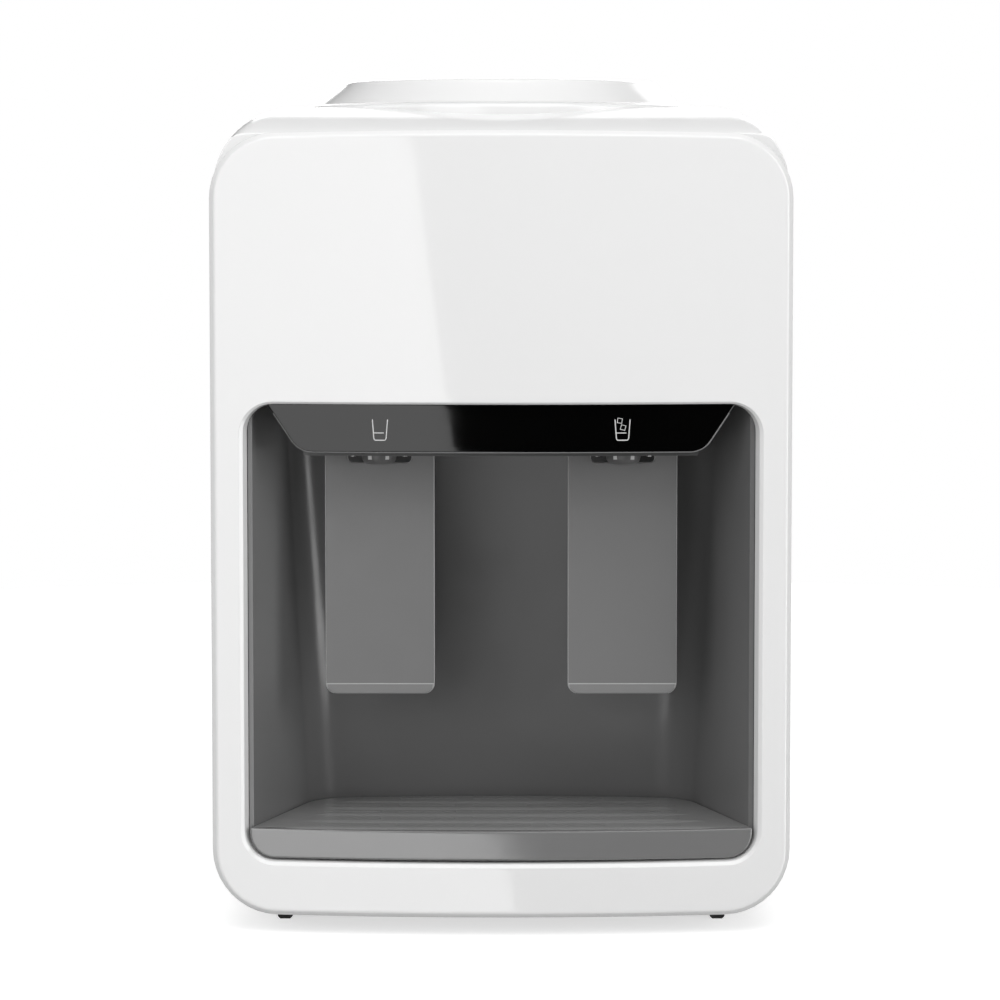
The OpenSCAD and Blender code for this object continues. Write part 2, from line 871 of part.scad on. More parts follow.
module drip_tray() {
    rim_z = grille_z - grille_t;
    color([0.45, 0.45, 0.46])
        intersection() {
            union() {
                difference() {
                    translate([0, 0, tray_low_z])
                        linear_extrude(rim_z - tray_low_z)
                            polygon(tray_plan(0));
                    translate([0, 0, tray_low_z + tray_wall])
                        linear_extrude(rim_z)
                            intersection() {
                                polygon(tray_plan(tray_wall));
                                translate([0, front_y + bow_r])
                                    circle(bow_r - tray_recess - tray_wall, $fn = 720);
                            }
                }
                translate([0, 0, tray_low_z])
                    linear_extrude(grille_z - tray_low_z)
                        difference() {
                            translate([-tray_half, front_y])
                                square([2 * tray_half, 16]);
                            translate([0, front_y + bow_r])
                                circle(bow_r - tray_recess - tray_lip, $fn = 720);
                        }
            }
            behind_bow(tray_recess, 0, body_h);
            along_y(front_y, front_y + 120)
                tray_front_outline();
        }
}

module drip_grille() {
    last_row = 4;
    slot_half = 15;
    color([0.35, 0.35, 0.36])
        difference() {
            intersection() {
                translate([0, 0, grille_z - grille_t + 0.1])
                    linear_extrude(grille_t - 0.1)
                        polygon(tray_plan(0.3));
                behind_bow(tray_recess + tray_lip + 0.4, 0, body_h);
            }
            for (row = [0:last_row], column = [-2:2])
                if (row < last_row || abs(column) < 2)
                    translate([column * 38, front_y + 21 + rib_pitch * row, grille_z])
                        block([-slot_half, -1.5, -5], [slot_half, 1.5, 1]);
            for (side = [-1, 1])
                rod_z(side * 101, front_y + 30, 5, grille_z - 5, grille_z + 1);
        }
}

// ---- Cooler ----

module tank_inlet_pipe() {
    color("white")
        difference() {
            rod_z(0, outlet_y, 6, tank_high_z - 60, res_low_z + 1.5);
            rod_z(0, outlet_y, 4.4, tank_high_z - 61, res_low_z + 2);
        }
}

module cold_tank() {
    color("lightgray")
        difference() {
            rod_z(0, tank_y, tank_r, tank_low_z, tank_high_z);
            rod_z(0, tank_y, tank_r - tank_wall, tank_low_z + tank_wall, tank_high_z + 1);
            rod_z(0, tank_y, 3, tank_low_z - 1, tank_low_z + tank_wall + 1);
            rod_y(14, hose_z, 2.6, tank_y - tank_r - 1, tank_y - 30);
        }
}

module tank_lid() {
    color("white")
        difference() {
            union() {
                rod_z(0, tank_y, tank_r + 2, tank_high_z + 0.05, tank_high_z + 4);
                rod_z(0, tank_y, tank_r - tank_wall - 0.2, tank_high_z - 5, tank_high_z + 1);
            }
            rod_z(0, tank_y, tank_r - tank_wall - 2.4, tank_high_z - 6, tank_high_z + 1.5);
            rod_z(0, outlet_y, 6.1, tank_high_z - 6, tank_high_z + 5);
        }
}

// Half of the foam jacket; way is -1 for the front half, 1 for the rear half
module foam_half(way) {
    color("ivory")
        difference() {
            rod_z(0, tank_y, foam_r, tank_low_z - 12, tank_high_z + 16);
            rod_z(0, tank_y, tank_r + 0.3, tank_low_z - 0.3, tank_high_z);
            rod_z(0, tank_y, tank_r + 2.3, tank_high_z - 1, tank_high_z + 4.3);
            rod_z(0, outlet_y, 6.6, tank_high_z, tank_high_z + 20);
            rod_z(0, tank_y, 8, tank_low_z - 15, tank_low_z);
            block([-body_w, way > 0 ? front_y : tank_y - 0.1, 0],
                [body_w, way > 0 ? tank_y + 0.1 : rear_y, body_h]);
            block([-22.6, tank_y + 20, cool_z - 22.6], [22.6, rear_y, cool_z + 22.6]);
            rod_y(sensor_x, sensor_z, 3.2, tank_y, rear_y);
            block([10, tank_y - foam_r - 1, hose_z - 5], [34, tank_y - tank_r + 4, hose_z + 5]);
        }
}

module cold_block() {
    color("silver")
        difference() {
            block([-22, tank_y + 36, cool_z - 22], [22, plate_y, cool_z + 22]);
            rod_z(0, tank_y, tank_r + 0.05, cool_z - 30, cool_z + 30);
            for (side = [-1, 1])
                rod_y(side * bolt_x, cool_z, 1.6, plate_y - 6, plate_y + 1);
        }
}

module peltier_module() {
    color("whitesmoke")
        block([-14.5, plate_y + 0.05, cool_z - 20], [14.5, sink_y - 0.05, cool_z + 20]);
}

module heat_sink() {
    half = 46;
    fins = 17;
    color("silver")
        difference() {
            union() {
                block([-half, sink_y, cool_z - half], [half, sink_y + 5, cool_z + half]);
                for (i = [0:fins - 1]) {
                    x = -half + 0.6 + (2 * half - 1.2) * i / (fins - 1);
                    block([x - 0.6, sink_y + 4, cool_z - half], [x + 0.6, sink_y + 25, cool_z + half]);
                }
            }
            for (side = [-1, 1])
                rod_y(side * bolt_x, cool_z, 1.6, sink_y - 1, sink_y + 6);
        }
}

module sink_bolts() {
    color("dimgray")
        for (side = [-1, 1]) {
            rod_y(side * bolt_x, cool_z, 1.5, plate_y - 5, sink_y + 5.1);
            rod_y(side * bolt_x, cool_z, 2.05, sink_y + 5, sink_y + 7.5);
        }
}

module fan_screw_places() {
    for (x = [-1, 1], z = [-1, 1])
        translate([x * (fan_w / 2 - 5), 0, cool_z + z * (fan_w / 2 - 5)])
            children();
}

module fan_frame() {
    half = fan_w / 2;
    color([0.12, 0.12, 0.13])
        difference() {
            union() {
                difference() {
                    block([-half, fan_y, cool_z - half], [half, fan_y + fan_t, cool_z + half]);
                    rod_y(0, cool_z, rotor_r + 2, fan_y - 1, fan_y + fan_t + 1);
                }
                for (turn = [45:90:315])
                    translate([0, 0, cool_z])
                        rotate([0, turn, 0])
                            block([-2, fan_y + fan_t - 3, 12], [2, fan_y + fan_t, rotor_r + 3]);
                rod_y(0, cool_z, 18, fan_y + fan_t - 3, fan_y + fan_t);
                rod_y(0, cool_z, 2, fan_y + 6, fan_y + fan_t - 1);
            }
            fan_screw_places()
                rod_y(0, 0, 2.2, fan_y - 1, fan_y + fan_t + 1);
        }
}

module fan_rotor() {
    blades = 7;
    hub_r = 17;
    color([0.15, 0.15, 0.16])
        difference() {
            union() {
                rod_y(0, cool_z, hub_r, fan_y + 3, fan_y + fan_t - 4);
                intersection() {
                    for (i = [0:blades - 1])
                        translate([0, fan_y + 12, cool_z])
                            rotate([0, 360 * i / blades, 0])
                                rotate([0, 0, 38])
                                    block([-11, -0.8, hub_r - 4], [11, 0.8, rotor_r + 10]);
                    rod_y(0, cool_z, rotor_r + 0.8, fan_y + 1, fan_y + fan_t - 4);
                }
            }
            rod_y(0, cool_z, 2 + running_gap, fan_y + 5, fan_y + fan_t);
        }
}

module fan_screws() {
    color("silver")
        fan_screw_places() {
            rod_y(0, 0, 3.4, fan_y + fan_t, fan_y + fan_t + 1.5);
            rod_y(0, 0, 1.9, sink_y + 25.2, fan_y + fan_t + 0.1);
        }
}

module temperature_sensor() {
    color("black")
        rod_y(sensor_x, sensor_z, 2.8, tank_y + 36.6, tank_y + 52);
}

// ---- Electrics ----

module power_board() {
    color("darkgreen")
        difference() {
            union() {
                block([-60, board_y - 35, board_z], [60, board_y + 35, board_z + 1.6]);
                for (x = [-1, 1], y = [-1, 1])
                    rod_z(x * 55, board_y + y * 30, 3, foot_h + floor_wall, board_z + 0.1);
            }
            for (x = [-1, 1], y = [-1, 1])
                rod_z(x * 55, board_y + y * 30, 1.4, foot_h + floor_wall - 1, board_z + 3);
        }
}

module transformer() {
    low = board_z + 1.6;
    color("goldenrod") {
        block([-34, board_y - 16, low], [-6, board_y + 16, low + 8]);
        block([-30, board_y - 12, low + 7.9], [-10, board_y + 12, low + 22]);
        block([-34, board_y - 16, low + 21.9], [-6, board_y + 16, low + 30]);
    }
}

module capacitors() {
    low = board_z + 1.6;
    color("midnightblue")
        for (x = [6, 26, 46], y = [-14, 12])
            if (x < 40 || y < 0)
                rod_z(x, board_y + y, 8, low, low + 26);
}

module terminal_block() {
    low = board_z + 1.6;
    color("seagreen")
        difference() {
            block([-56, board_y - 20, low], [-44, board_y + 20, low + 11]);
            for (i = [0:4])
                rod_z(-50, board_y - 16 + 8 * i, 2.2, low + 5, low + 12);
        }
}

module wiring() {
    low = board_z + 8;
    fan_lead = [[-57, 30, low], [-66, 44, low + 10], [-66, 96, 100], [-54, 118, 138],
        [-47.6, 121, 154]];
    peltier_lead = [[-57, 14, low], [-80, 30, low + 20], [-80, 66, 130], [-40, 84, 176],
        [-24, 85, 182], [-14.8, 85, 182]];
    switch_lead = [[-57, 38, low], [-80, 60, low + 4], [-95, 100, 62], [-95, 127, 62]];
    supply_lead = [[-57, 6, low], [-90, 6, low + 6], [-90, 90, low + 2], [60, 106, low + 2],
        [95, 112, gland_z], [95, 125, gland_z]];
    color("firebrick") {
        bar_along(soft_path(fan_lead, 8), 1.2, 8);
        bar_along(soft_path(peltier_lead, 7), 1.2, 8);
        bar_along(soft_path(switch_lead, 8), 1.6, 8);
        bar_along(soft_path(supply_lead, 10), 2, 8);
    }
}

module switch_body() {
    color([0.1, 0.1, 0.1])
        translate([switch_x, 0, switch_z])
            difference() {
                union() {
                    block([-9, cover_y - 20, -12.5], [9, cover_face, 12.5]);
                    block([-10.5, cover_face, -14], [10.5, cover_face + 1.2, 14]);
                }
                block([-7, cover_y - 12, -10.5], [7, cover_face + 2, 10.5]);
                rod_x(pivot_y, 0, pivot_r + running_gap, -8.2, 8.2);
            }
}

module switch_rocker() {
    color("firebrick")
        translate([switch_x, 0, switch_z]) {
            translate([0, pivot_y, 0])
                along_x(-6.5, 6.5)
                    polygon([[-6, -7.6], [-6, 7.6], [6.4, 8.6], [4.4, 0], [8.4, -8.6]]);
            rod_x(pivot_y, 0, pivot_r, -8, 8);
        }
}

module cord_gland() {
    color([0.12, 0.12, 0.12])
        translate([gland_x, 0, gland_z])
            difference() {
                union() {
                    rod_y(0, 0, 6, cover_y - 14, cover_face + 0.1);
                    rod_y(0, 0, 9, cover_face, body_d / 2);
                    rod_y(0, 0, 9, cover_y - 6, cover_y - 0.1);
                }
                rod_y(0, 0, gland_bore_r, cover_y - 15, body_d / 2 + 1);
            }
}

module drain_pipe() {
    path = [[0, tank_y, tank_low_z - 0.2], [0, tank_y, 100], [0, 74, drain_z],
        [0, cover_y - 18.2, drain_z]];
    color("white")
        bar_along(soft_path(path, 14), 2.9, 12);
}

module drain_spigot() {
    color("white")
        difference() {
            union() {
                rod_y(0, drain_z, 8.5, cover_y - 18, cover_face);
                rod_y(0, drain_z, 11, cover_y - 3, cover_y - 0.1);
            }
            rod_y(0, drain_z, 6, cover_y - 15, cover_face + 1);
            rod_y(0, drain_z, 2.9, cover_y - 19, cover_y - 14);
        }
}

module drain_plug() {
    color([0.2, 0.2, 0.2])
        difference() {
            union() {
                rod_y(0, drain_z, 6 - running_gap, cover_y - 12, cover_face + 0.4);
                rod_y(0, drain_z, 10, cover_face + 0.3, cover_face + 3);
                block([-1.2, cover_face + 2, drain_z - 8], [1.2, cover_face + 4.2, drain_z + 8]);
            }
            rod_y(0, drain_z, 4, cover_y - 13, cover_y - 2);
        }
}

// ---- Assembly ----

front_panel();
body_shell();
base_tub();
back_cover();
feet();
bottle_collar();
bottle_funnel();
bottle_probe();
funnel_seal();
reservoir();
reservoir_shelf();
cavity_liner();
header_frame();
header_strip();
drip_tray();
drip_grille();
paddle(-1);  // paddle_left
paddle(1);  // paddle_right
paddle_axle(-1);  // paddle_axle_left
paddle_axle(1);  // paddle_axle_right
tap_body(-1);  // tap_body_left
tap_body(1);  // tap_body_right
nozzle(-1);  // nozzle_left
nozzle(1);  // nozzle_right
plunger(-1);  // plunger_left
plunger(1);  // plunger_right
plunger_spring(-1);  // plunger_spring_left
plunger_spring(1);  // plunger_spring_right
valve_seal(-1);  // valve_seal_left
valve_seal(1);  // valve_seal_right
feed_hose(-1);  // feed_hose_left
feed_hose(1);  // feed_hose_right
tank_inlet_pipe();
cold_tank();
tank_lid();
foam_half(-1);  // foam_front
foam_half(1);  // foam_rear
cold_block();
peltier_module();
heat_sink();
sink_bolts();
fan_frame();
fan_rotor();
fan_screws();
temperature_sensor();
power_board();
transformer();
capacitors();
terminal_block();
wiring();
switch_body();
switch_rocker();
cord_gland();
drain_pipe();
drain_spigot();
drain_plug();
back_screws();
base_screws();
header_screws();
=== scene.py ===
"""Countertop water dispenser: the visible mouldings, finishes, light and camera round the CAD frame.

Lengths are in millimetres until to_object() turns them into metres. x runs to the viewer's right,
y away from the viewer and z up, as in the frame.
"""

import json
import math

import bmesh
import bpy
from mathutils import Matrix, Vector


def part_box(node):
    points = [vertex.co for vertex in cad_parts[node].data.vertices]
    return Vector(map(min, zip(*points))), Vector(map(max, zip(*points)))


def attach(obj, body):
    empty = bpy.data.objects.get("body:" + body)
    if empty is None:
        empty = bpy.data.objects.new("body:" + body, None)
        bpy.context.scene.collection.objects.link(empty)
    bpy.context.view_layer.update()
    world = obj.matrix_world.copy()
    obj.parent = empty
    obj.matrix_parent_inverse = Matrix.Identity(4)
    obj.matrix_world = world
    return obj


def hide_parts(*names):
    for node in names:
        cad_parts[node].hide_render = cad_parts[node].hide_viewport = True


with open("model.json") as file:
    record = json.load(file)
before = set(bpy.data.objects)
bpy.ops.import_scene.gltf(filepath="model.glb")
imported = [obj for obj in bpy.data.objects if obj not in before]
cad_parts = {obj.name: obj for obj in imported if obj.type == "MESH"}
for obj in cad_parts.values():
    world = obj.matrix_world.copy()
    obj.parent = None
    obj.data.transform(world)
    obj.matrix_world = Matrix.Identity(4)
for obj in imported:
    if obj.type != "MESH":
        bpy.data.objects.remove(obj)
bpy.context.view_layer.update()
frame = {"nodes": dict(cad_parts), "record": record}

MM = 0.001


def node_box(node):
    """Lowest and highest corner of a CAD node, in millimetres."""
    low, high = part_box(node)
    return [c / MM for c in low], [c / MM for c in high]


# ---- Driving sizes, from the frame ----

PANEL_LOW, PANEL_HIGH = node_box("front_panel")
SHELL_HIGH = node_box("body_shell")[1]
TUB_LOW, TUB_HIGH = node_box("base_tub")
TRAY_LOW, TRAY_HIGH = node_box("drip_tray")
GRILLE_LOW, GRILLE_HIGH = node_box("drip_grille")
STRIP_LOW, STRIP_HIGH = node_box("header_strip")
PADDLE_LOW, PADDLE_HIGH = node_box("paddle_right")
NOZZLE_LOW, NOZZLE_HIGH = node_box("nozzle_right")
AXLE_LOW, AXLE_HIGH = node_box("paddle_axle_right")

FRONT_Y = PANEL_LOW[1]
SEAM_Y = PANEL_HIGH[1]
REAR_Y = SHELL_HIGH[1]
HALF_W = PANEL_HIGH[0]
SHELL_HALF = SHELL_HIGH[0]
PANEL_Z0, PANEL_Z1 = PANEL_LOW[2], PANEL_HIGH[2]
SHELL_Z1 = SHELL_HIGH[2]
COLLAR_Z = node_box("bottle_collar")[1][2]
GRILLE_Z = GRILLE_HIGH[2]
PADDLE_HALF = (PADDLE_HIGH[0] - PADDLE_LOW[0]) / 2
TAP_X = (PADDLE_LOW[0] + PADDLE_HIGH[0]) / 2
TAP_Y = (NOZZLE_LOW[1] + NOZZLE_HIGH[1]) / 2
HINGE_Y = (AXLE_LOW[1] + AXLE_HIGH[1]) / 2
HINGE_Z = (AXLE_LOW[2] + AXLE_HIGH[2]) / 2

# Radius of the bow of the front; how far its top edge is crowned at CROWN_X, fading in over CROWN_SPAN
BOW_R = 872.0
CROWN = 1.0
CROWN_X = 101.0
CROWN_FROM_Z, CROWN_SPAN = 330.0, 70.0

# Front panel, and its mouth: outline at the face, and at the inner end of its lip
PANEL_R = 32.5
PANEL_WALL = 2.8
PANEL_CHAMFER = 2.5
MOUTH_HALF, MOUTH_Z0, MOUTH_Z1, MOUTH_R = 130.6, 35.0, 267.6, 17.0
LIP_HALF, LIP_Z0, LIP_Z1, LIP_R = 126.9, 37.9, 265.6, 13.0
LIP_REAR_Y = FRONT_Y + 17.0
LIP_WALL = 1.8

# Shell behind the panel: corner and shoulder radii, the depth of the shoulder, walls and rear edge
SEAM_GAP = 0.3
SHELL_R = 39.0
SHOULDER_R = 130.0
SHOULDER_DEPTH = 70.0
SHOULDER_BLEND = 1.6
SHOULDER_CROWN = 0.8
SHELL_WALL = 2.5
BULKHEAD = 14.0
REAR_ROUND = 4.0

# Collar: hole under it, flange, and the step that the bottle's shoulder stands over
COLLAR_HOLE_R = 86.0
FLANGE_R = 104.7
FLANGE_ROUND = 2.4
COLLAR_STEP_Z = 418.2

# Bay in plan: half width near the mouth, depth at the grille, side walls that draw in, bowed back
BAY_HALF, BAY_HALF_DEPTH = 127.7, 6.8
BAY_DEPTH = 113.0
BAY_DRAW = 0.32
BAY_BACK_BOW = 7.0
BAY_CORNER_R = 25.0
BAY_Z0, BAY_Z1 = 37.8, 268.0
BAY_WALL = 2.2
CAVITY_LEAN = 27 / 190
TAP_PIPE_Z = 255.5

# Header strip: outline, slant of its ends and its depth behind the panel's face
STRIP_Z0, STRIP_Z1 = STRIP_LOW[2], STRIP_HIGH[2] + 1.2
STRIP_HALF = STRIP_HIGH[0] + 0.8
STRIP_SLOPE = 0.67
STRIP_CORNER = 12.5
STRIP_RECESS = 3.0
ICON_X = 60.1
ICON_Z0, ICON_Z1 = 248.6, 258.9
ICON_STROKE = 0.27

# Paddle: face, wall, and the line where its lower lip bends back
PADDLE_FACE_Y = FRONT_Y + 38.0
PADDLE_WALL = 2.2
PADDLE_BEND_Z = PADDLE_LOW[2] + 5.5
PADDLE_BEND = 0.3
PADDLE_LINE = 0.28
NOZZLE_R = 8.75

# Drip tray and grille in plan
TRAY_HALF = TRAY_HIGH[0]
TRAY_Z0 = TRAY_LOW[2]
TRAY_RECESS = 3.0
TRAY_DEPTH = 106.0
TRAY_SIDE_HALF, TRAY_SIDE_DEPTH = 126.0, 9.0
RIB_PITCH = 18.5
RIB_HALF = 4.6
RIB_LIFT = 0.75
RIB_SINK = 0.35

CAMERA_AT = (-0.0006, FRONT_Y * MM - 1.70, 0.376)
CAMERA_DOWN = 4.02
CAMERA_LENS = 124.2
CAMERA_SHIFT = -0.075


# ---- Mesh helpers ----


def to_object(name, verts, faces):
    """New object from millimetre vertices, smooth-shaded with its sharp edges kept crisp."""
    mesh = bpy.data.meshes.new(name)
    mesh.from_pydata([Vector(v) * MM for v in verts], [], faces)
    mesh.validate()
    finish_mesh(mesh)
    obj = bpy.data.objects.new(name, mesh)
    bpy.context.scene.collection.objects.link(obj)
    return obj


def weight_normals(obj):
    """Lets the large faces set the shading, so that flats beside a rounding stay flat."""
    weighted = obj.modifiers.new("weighted", "WEIGHTED_NORMAL")
    weighted.weight = 60
    weighted.keep_sharp = True


def finish_mesh(mesh, sharp_deg=32.0):
    """Outward normals, smooth faces, and crisp edges above the angle."""
    bm = bmesh.new()
    bm.from_mesh(mesh)
    bmesh.ops.remove_doubles(bm, verts=bm.verts, dist=1e-6)
    bmesh.ops.recalc_face_normals(bm, faces=bm.faces)
    bm.to_mesh(mesh)
    bm.free()
    for polygon in mesh.polygons:
        polygon.use_smooth = True
    mesh.set_sharp_from_angle(angle=math.radians(sharp_deg))


def loft(loops, close=False, cap_start=False, cap_end=False):
    """Vertices and quads between loops of equal length."""
    n = len(loops[0])
    verts = [v for loop in loops for v in loop]
    faces = []
    count = len(loops)
    for i in range(count if close else count - 1):
        a, b = i * n, ((i + 1) % count) * n
        for k in range(n):
            j = (k + 1) % n
            faces.append((a + k, a + j, b + j, b + k))
    if cap_start:
        faces.append(tuple(range(n)))
    if cap_end:
        faces.append(tuple((count - 1) * n + k for k in range(n)))
    return verts, faces


def open_loft(loops, rows):
    """Vertices, and quads after each of the loops in rows; a loop doesn't close on itself."""
    n, count = len(loops[0]), len(loops)
    faces = []
    for i in rows:
        a, b = i * n, ((i + 1) % count) * n
        faces += [(a + k, a + k + 1, b + k + 1, b + k) for k in range(n - 1)]
    return [v for loop in loops for v in loop], faces


def edge_strips(n, count, rows):
    """Quads that join the two sides of a wall along both of its open edges."""
    faces = []
    for k in (0, n - 1):
        for i in range(rows):
            j = count - 1 - i
            faces.append((i * n + k, (i + 1) * n + k, (j - 1) * n + k, j * n + k))
    return faces


def merge(parts):
    """Joins several (verts, faces) into one."""
    verts, faces = [], []
    for v, f in parts:
        base = len(verts)
        verts.extend(v)
        faces.extend(tuple(i + base for i in face) for face in f)
    return verts, faces


def arc(cx, cz, r, start, end, steps):
    """Points of an arc in degrees, both ends included."""
    return [
        (
            cx + r * math.cos(math.radians(start + (end - start) * i / steps)),
            cz + r * math.sin(math.radians(start + (end - start) * i / steps)),
        )
        for i in range(steps + 1)
    ]


def between(a, b, steps):
    """Points strictly between a and b."""
    return [
        (a[0] + (b[0] - a[0]) * i / steps, a[1] + (b[1] - a[1]) * i / steps)
        for i in range(1, steps)
    ]


def rounded_rect(half, z0, z1, r_low, r_high, wide=24, tall=20):
    """Closed outline in x and z, anticlockwise from the lower right corner."""
    turn = 10
    corners = [
        arc(half - r_low, z0 + r_low, r_low, 270, 360, turn),
        arc(half - r_high, z1 - r_high, r_high, 0, 90, turn),
        arc(r_high - half, z1 - r_high, r_high, 90, 180, turn),
        arc(r_low - half, z0 + r_low, r_low, 180, 270, turn),
    ]
    points = []
    for i, corner in enumerate(corners):
        points += corner
        points += between(corner[-1], corners[(i + 1) % 4][0], tall if i % 2 == 0 else wide)
    return points


def mix(a, b, t):
    """Point-by-point blend of two outlines."""
    return [
        tuple(p + (q - p) * t for p, q in zip(u, v, strict=True)) for u, v in zip(a, b, strict=True)
    ]


def bow(x):
    """How far the bowed front lies behind its crown at x."""
    return BOW_R - math.sqrt(BOW_R * BOW_R - x * x)


def on_bow(outline, depth):
    """Outline laid on the bowed front, depth behind its face."""
    return [(x, FRONT_Y + bow(x) + depth, z) for x, z in outline]


def flat_at(outline, y):
    """Outline in an upright plane."""
    return [(x, y, z) for x, z in outline]


def level_at(plan, z):
    """Plan laid at one height."""
    return [(x, y, z) for x, y in plan]


def circle(r, z, segments, centre=(0.0, 0.0)):
    """Level ring about a centre."""
    turns = [2 * math.pi * k / segments for k in range(segments)]
    return [(centre[0] + r * math.cos(t), centre[1] + r * math.sin(t), z) for t in turns]


def corner_turn(corner, first, second, r, steps=12):
    """Arc of radius r that rounds a corner, from its first to its second direction."""
    half_angle = math.acos(first.dot(second)) / 2
    reach = r / math.tan(half_angle)
    centre = corner + (first + second).normalized() * (r / math.sin(half_angle))
    a, b = corner + first * reach, corner + second * reach
    start = math.degrees(math.atan2(a.y - centre.y, a.x - centre.x))
    end = math.degrees(math.atan2(b.y - centre.y, b.x - centre.x))
    if end < start:
        end += 360
    return arc(centre.x, centre.y, r, start, end, steps)


def crowned(outline):
    """Lowers the ends of the top edge a little, as the front panel has it."""
    return [
        (x, z - CROWN * (x / CROWN_X) ** 2 * min(max((z - CROWN_FROM_Z) / CROWN_SPAN, 0), 1))
        for x, z in outline
    ]


def add_bevel(obj, width):
    """Bevels an object's sharp edges for good, width in millimetres."""
    bevel = obj.modifiers.new("bevel", "BEVEL")
    bevel.width = width * MM
    bevel.segments = 2
    bevel.limit_method = "ANGLE"
    bevel.angle_limit = math.radians(40)
    bevel.harden_normals = False
    apply_modifiers(obj)


def apply_modifiers(obj):
    """Replaces the mesh with its evaluated form."""
    graph = bpy.context.evaluated_depsgraph_get()
    mesh = bpy.data.meshes.new_from_object(obj.evaluated_get(graph))
    obj.modifiers.clear()
    obj.data = mesh
    finish_mesh(mesh)


def cut(obj, cutters):
    """Subtracts the cutter objects and removes them."""
    for cutter in cutters:
        boolean = obj.modifiers.new("cut", "BOOLEAN")
        boolean.operation = "DIFFERENCE"
        boolean.solver = "EXACT"
        boolean.object = cutter
    apply_modifiers(obj)
    for cutter in cutters:
        bpy.data.objects.remove(cutter)


def prism(outline, low, high, axis="y"):
    """Closed solid with that outline pulled along an axis."""
    place = {
        "x": lambda p, d: (d, p[0], p[1]),
        "y": lambda p, d: (p[0], d, p[1]),
        "z": lambda p, d: (p[0], p[1], d),
    }[axis]
    loops = [[place(p, d) for p in outline] for d in (low, high)]
    return loft(loops, cap_start=True, cap_end=True)


def box_part(low, high):
    """Closed box between two corners."""
    outline = [(low[0], low[2]), (high[0], low[2]), (high[0], high[2]), (low[0], high[2])]
    return prism(outline, low[1], high[1])


def tube(points, r, sides=10, closed=False):
    """Round wire along points."""
    loops = []
    n = len(points)
    side = None
    turns = [2 * math.pi * k / sides for k in range(sides)]
    for i, p in enumerate(points):
        before = points[(i - 1) % n] if closed or i else p
        after = points[(i + 1) % n] if closed or i < n - 1 else p
        along = (Vector(after) - Vector(before)).normalized()
        if side is None:
            side = along.orthogonal().normalized()
        side = (side - along * side.dot(along)).normalized()
        other = along.cross(side)
        loops.append([tuple(Vector(p) + r * (math.cos(t) * side + math.sin(t) * other)) for t in turns])
    return loft(loops, close=closed, cap_start=not closed, cap_end=not closed)


def place(obj, body, slot, *nodes, material):
    """Rides, hides the CAD nodes it stands for, and gives the finish; the slot argument is not used."""
    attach(obj, body)
    if nodes:
        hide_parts(*nodes)
    weight_normals(obj)
    obj.data.materials.clear()
    obj.data.materials.append(material)


# ---- Materials ----


def new_material(name, colour, roughness, **sockets):
    """Principled material; further sockets by name."""
    material = bpy.data.materials.new(name)
    material.use_nodes = True
    shader = material.node_tree.nodes["Principled BSDF"]
    shader.inputs["Base Color"].default_value = (*colour, 1)
    shader.inputs["Roughness"].default_value = roughness
    for key, value in sockets.items():
        shader.inputs[key.replace("_", " ")].default_value = value
    return material


def noise(tree, scale, detail=3.0, rough=0.5, stretch=(1, 1, 1)):
    """Noise over object coordinates; returns its value socket."""
    coords = tree.nodes.new("ShaderNodeTexCoord")
    mapping = tree.nodes.new("ShaderNodeMapping")
    mapping.inputs["Scale"].default_value = stretch
    tree.links.new(coords.outputs["Object"], mapping.inputs["Vector"])
    texture = tree.nodes.new("ShaderNodeTexNoise")
    texture.inputs["Scale"].default_value = scale
    texture.inputs["Detail"].default_value = detail
    texture.inputs["Roughness"].default_value = rough
    tree.links.new(mapping.outputs["Vector"], texture.inputs["Vector"])
    return texture.outputs["Fac"]


def ramp_colour(material, value, dark, light):
    """Base colour between dark and light by a value socket."""
    tree = material.node_tree
    ramp = tree.nodes.new("ShaderNodeValToRGB")
    ramp.color_ramp.elements[0].position = 0.3
    ramp.color_ramp.elements[1].position = 0.7
    ramp.color_ramp.elements[0].color = (*dark, 1)
    ramp.color_ramp.elements[1].color = (*light, 1)
    tree.links.new(value, ramp.inputs["Fac"])
    tree.links.new(ramp.outputs["Color"], tree.nodes["Principled BSDF"].inputs["Base Color"])


def ramp_roughness(material, value, low, high):
    """Roughness between low and high by a value socket."""
    tree = material.node_tree
    spread = tree.nodes.new("ShaderNodeMapRange")
    spread.inputs["From Min"].default_value = 0.3
    spread.inputs["From Max"].default_value = 0.7
    spread.inputs["To Min"].default_value = low
    spread.inputs["To Max"].default_value = high
    tree.links.new(value, spread.inputs["Value"])
    tree.links.new(spread.outputs["Result"], tree.nodes["Principled BSDF"].inputs["Roughness"])


def bump(material, value, strength, depth_mm):
    """Fine relief from a value socket."""
    tree = material.node_tree
    node = tree.nodes.new("ShaderNodeBump")
    node.inputs["Strength"].default_value = strength
    node.inputs["Distance"].default_value = depth_mm * MM
    tree.links.new(value, node.inputs["Height"])
    tree.links.new(node.outputs["Normal"], tree.nodes["Principled BSDF"].inputs["Normal"])


def plastic(name, grey, roughness, spread=0.03, ripple=0.02, grain=None, tint=(1, 1, 1), **sockets):
    """Moulded plastic: slight tone drift, uneven gloss and flow ripple, or a fine grain."""
    colour = tuple(grey * t for t in tint)
    material = new_material(name, colour, roughness, **sockets)
    tree = material.node_tree
    cloud = noise(tree, 9.0, 2.0)
    ramp_colour(
        material,
        cloud,
        tuple(c * (1 - spread) for c in colour),
        tuple(min(c * (1 + spread), 0.95) for c in colour),
    )
    ramp_roughness(material, noise(tree, 60.0, 4.0), roughness * 0.85, roughness * 1.2)
    if grain:
        bump(material, noise(tree, grain, 2.0, 0.6), 0.25, 0.05)
    else:
        bump(material, noise(tree, 28.0, 1.0), ripple, 0.4)
    return material


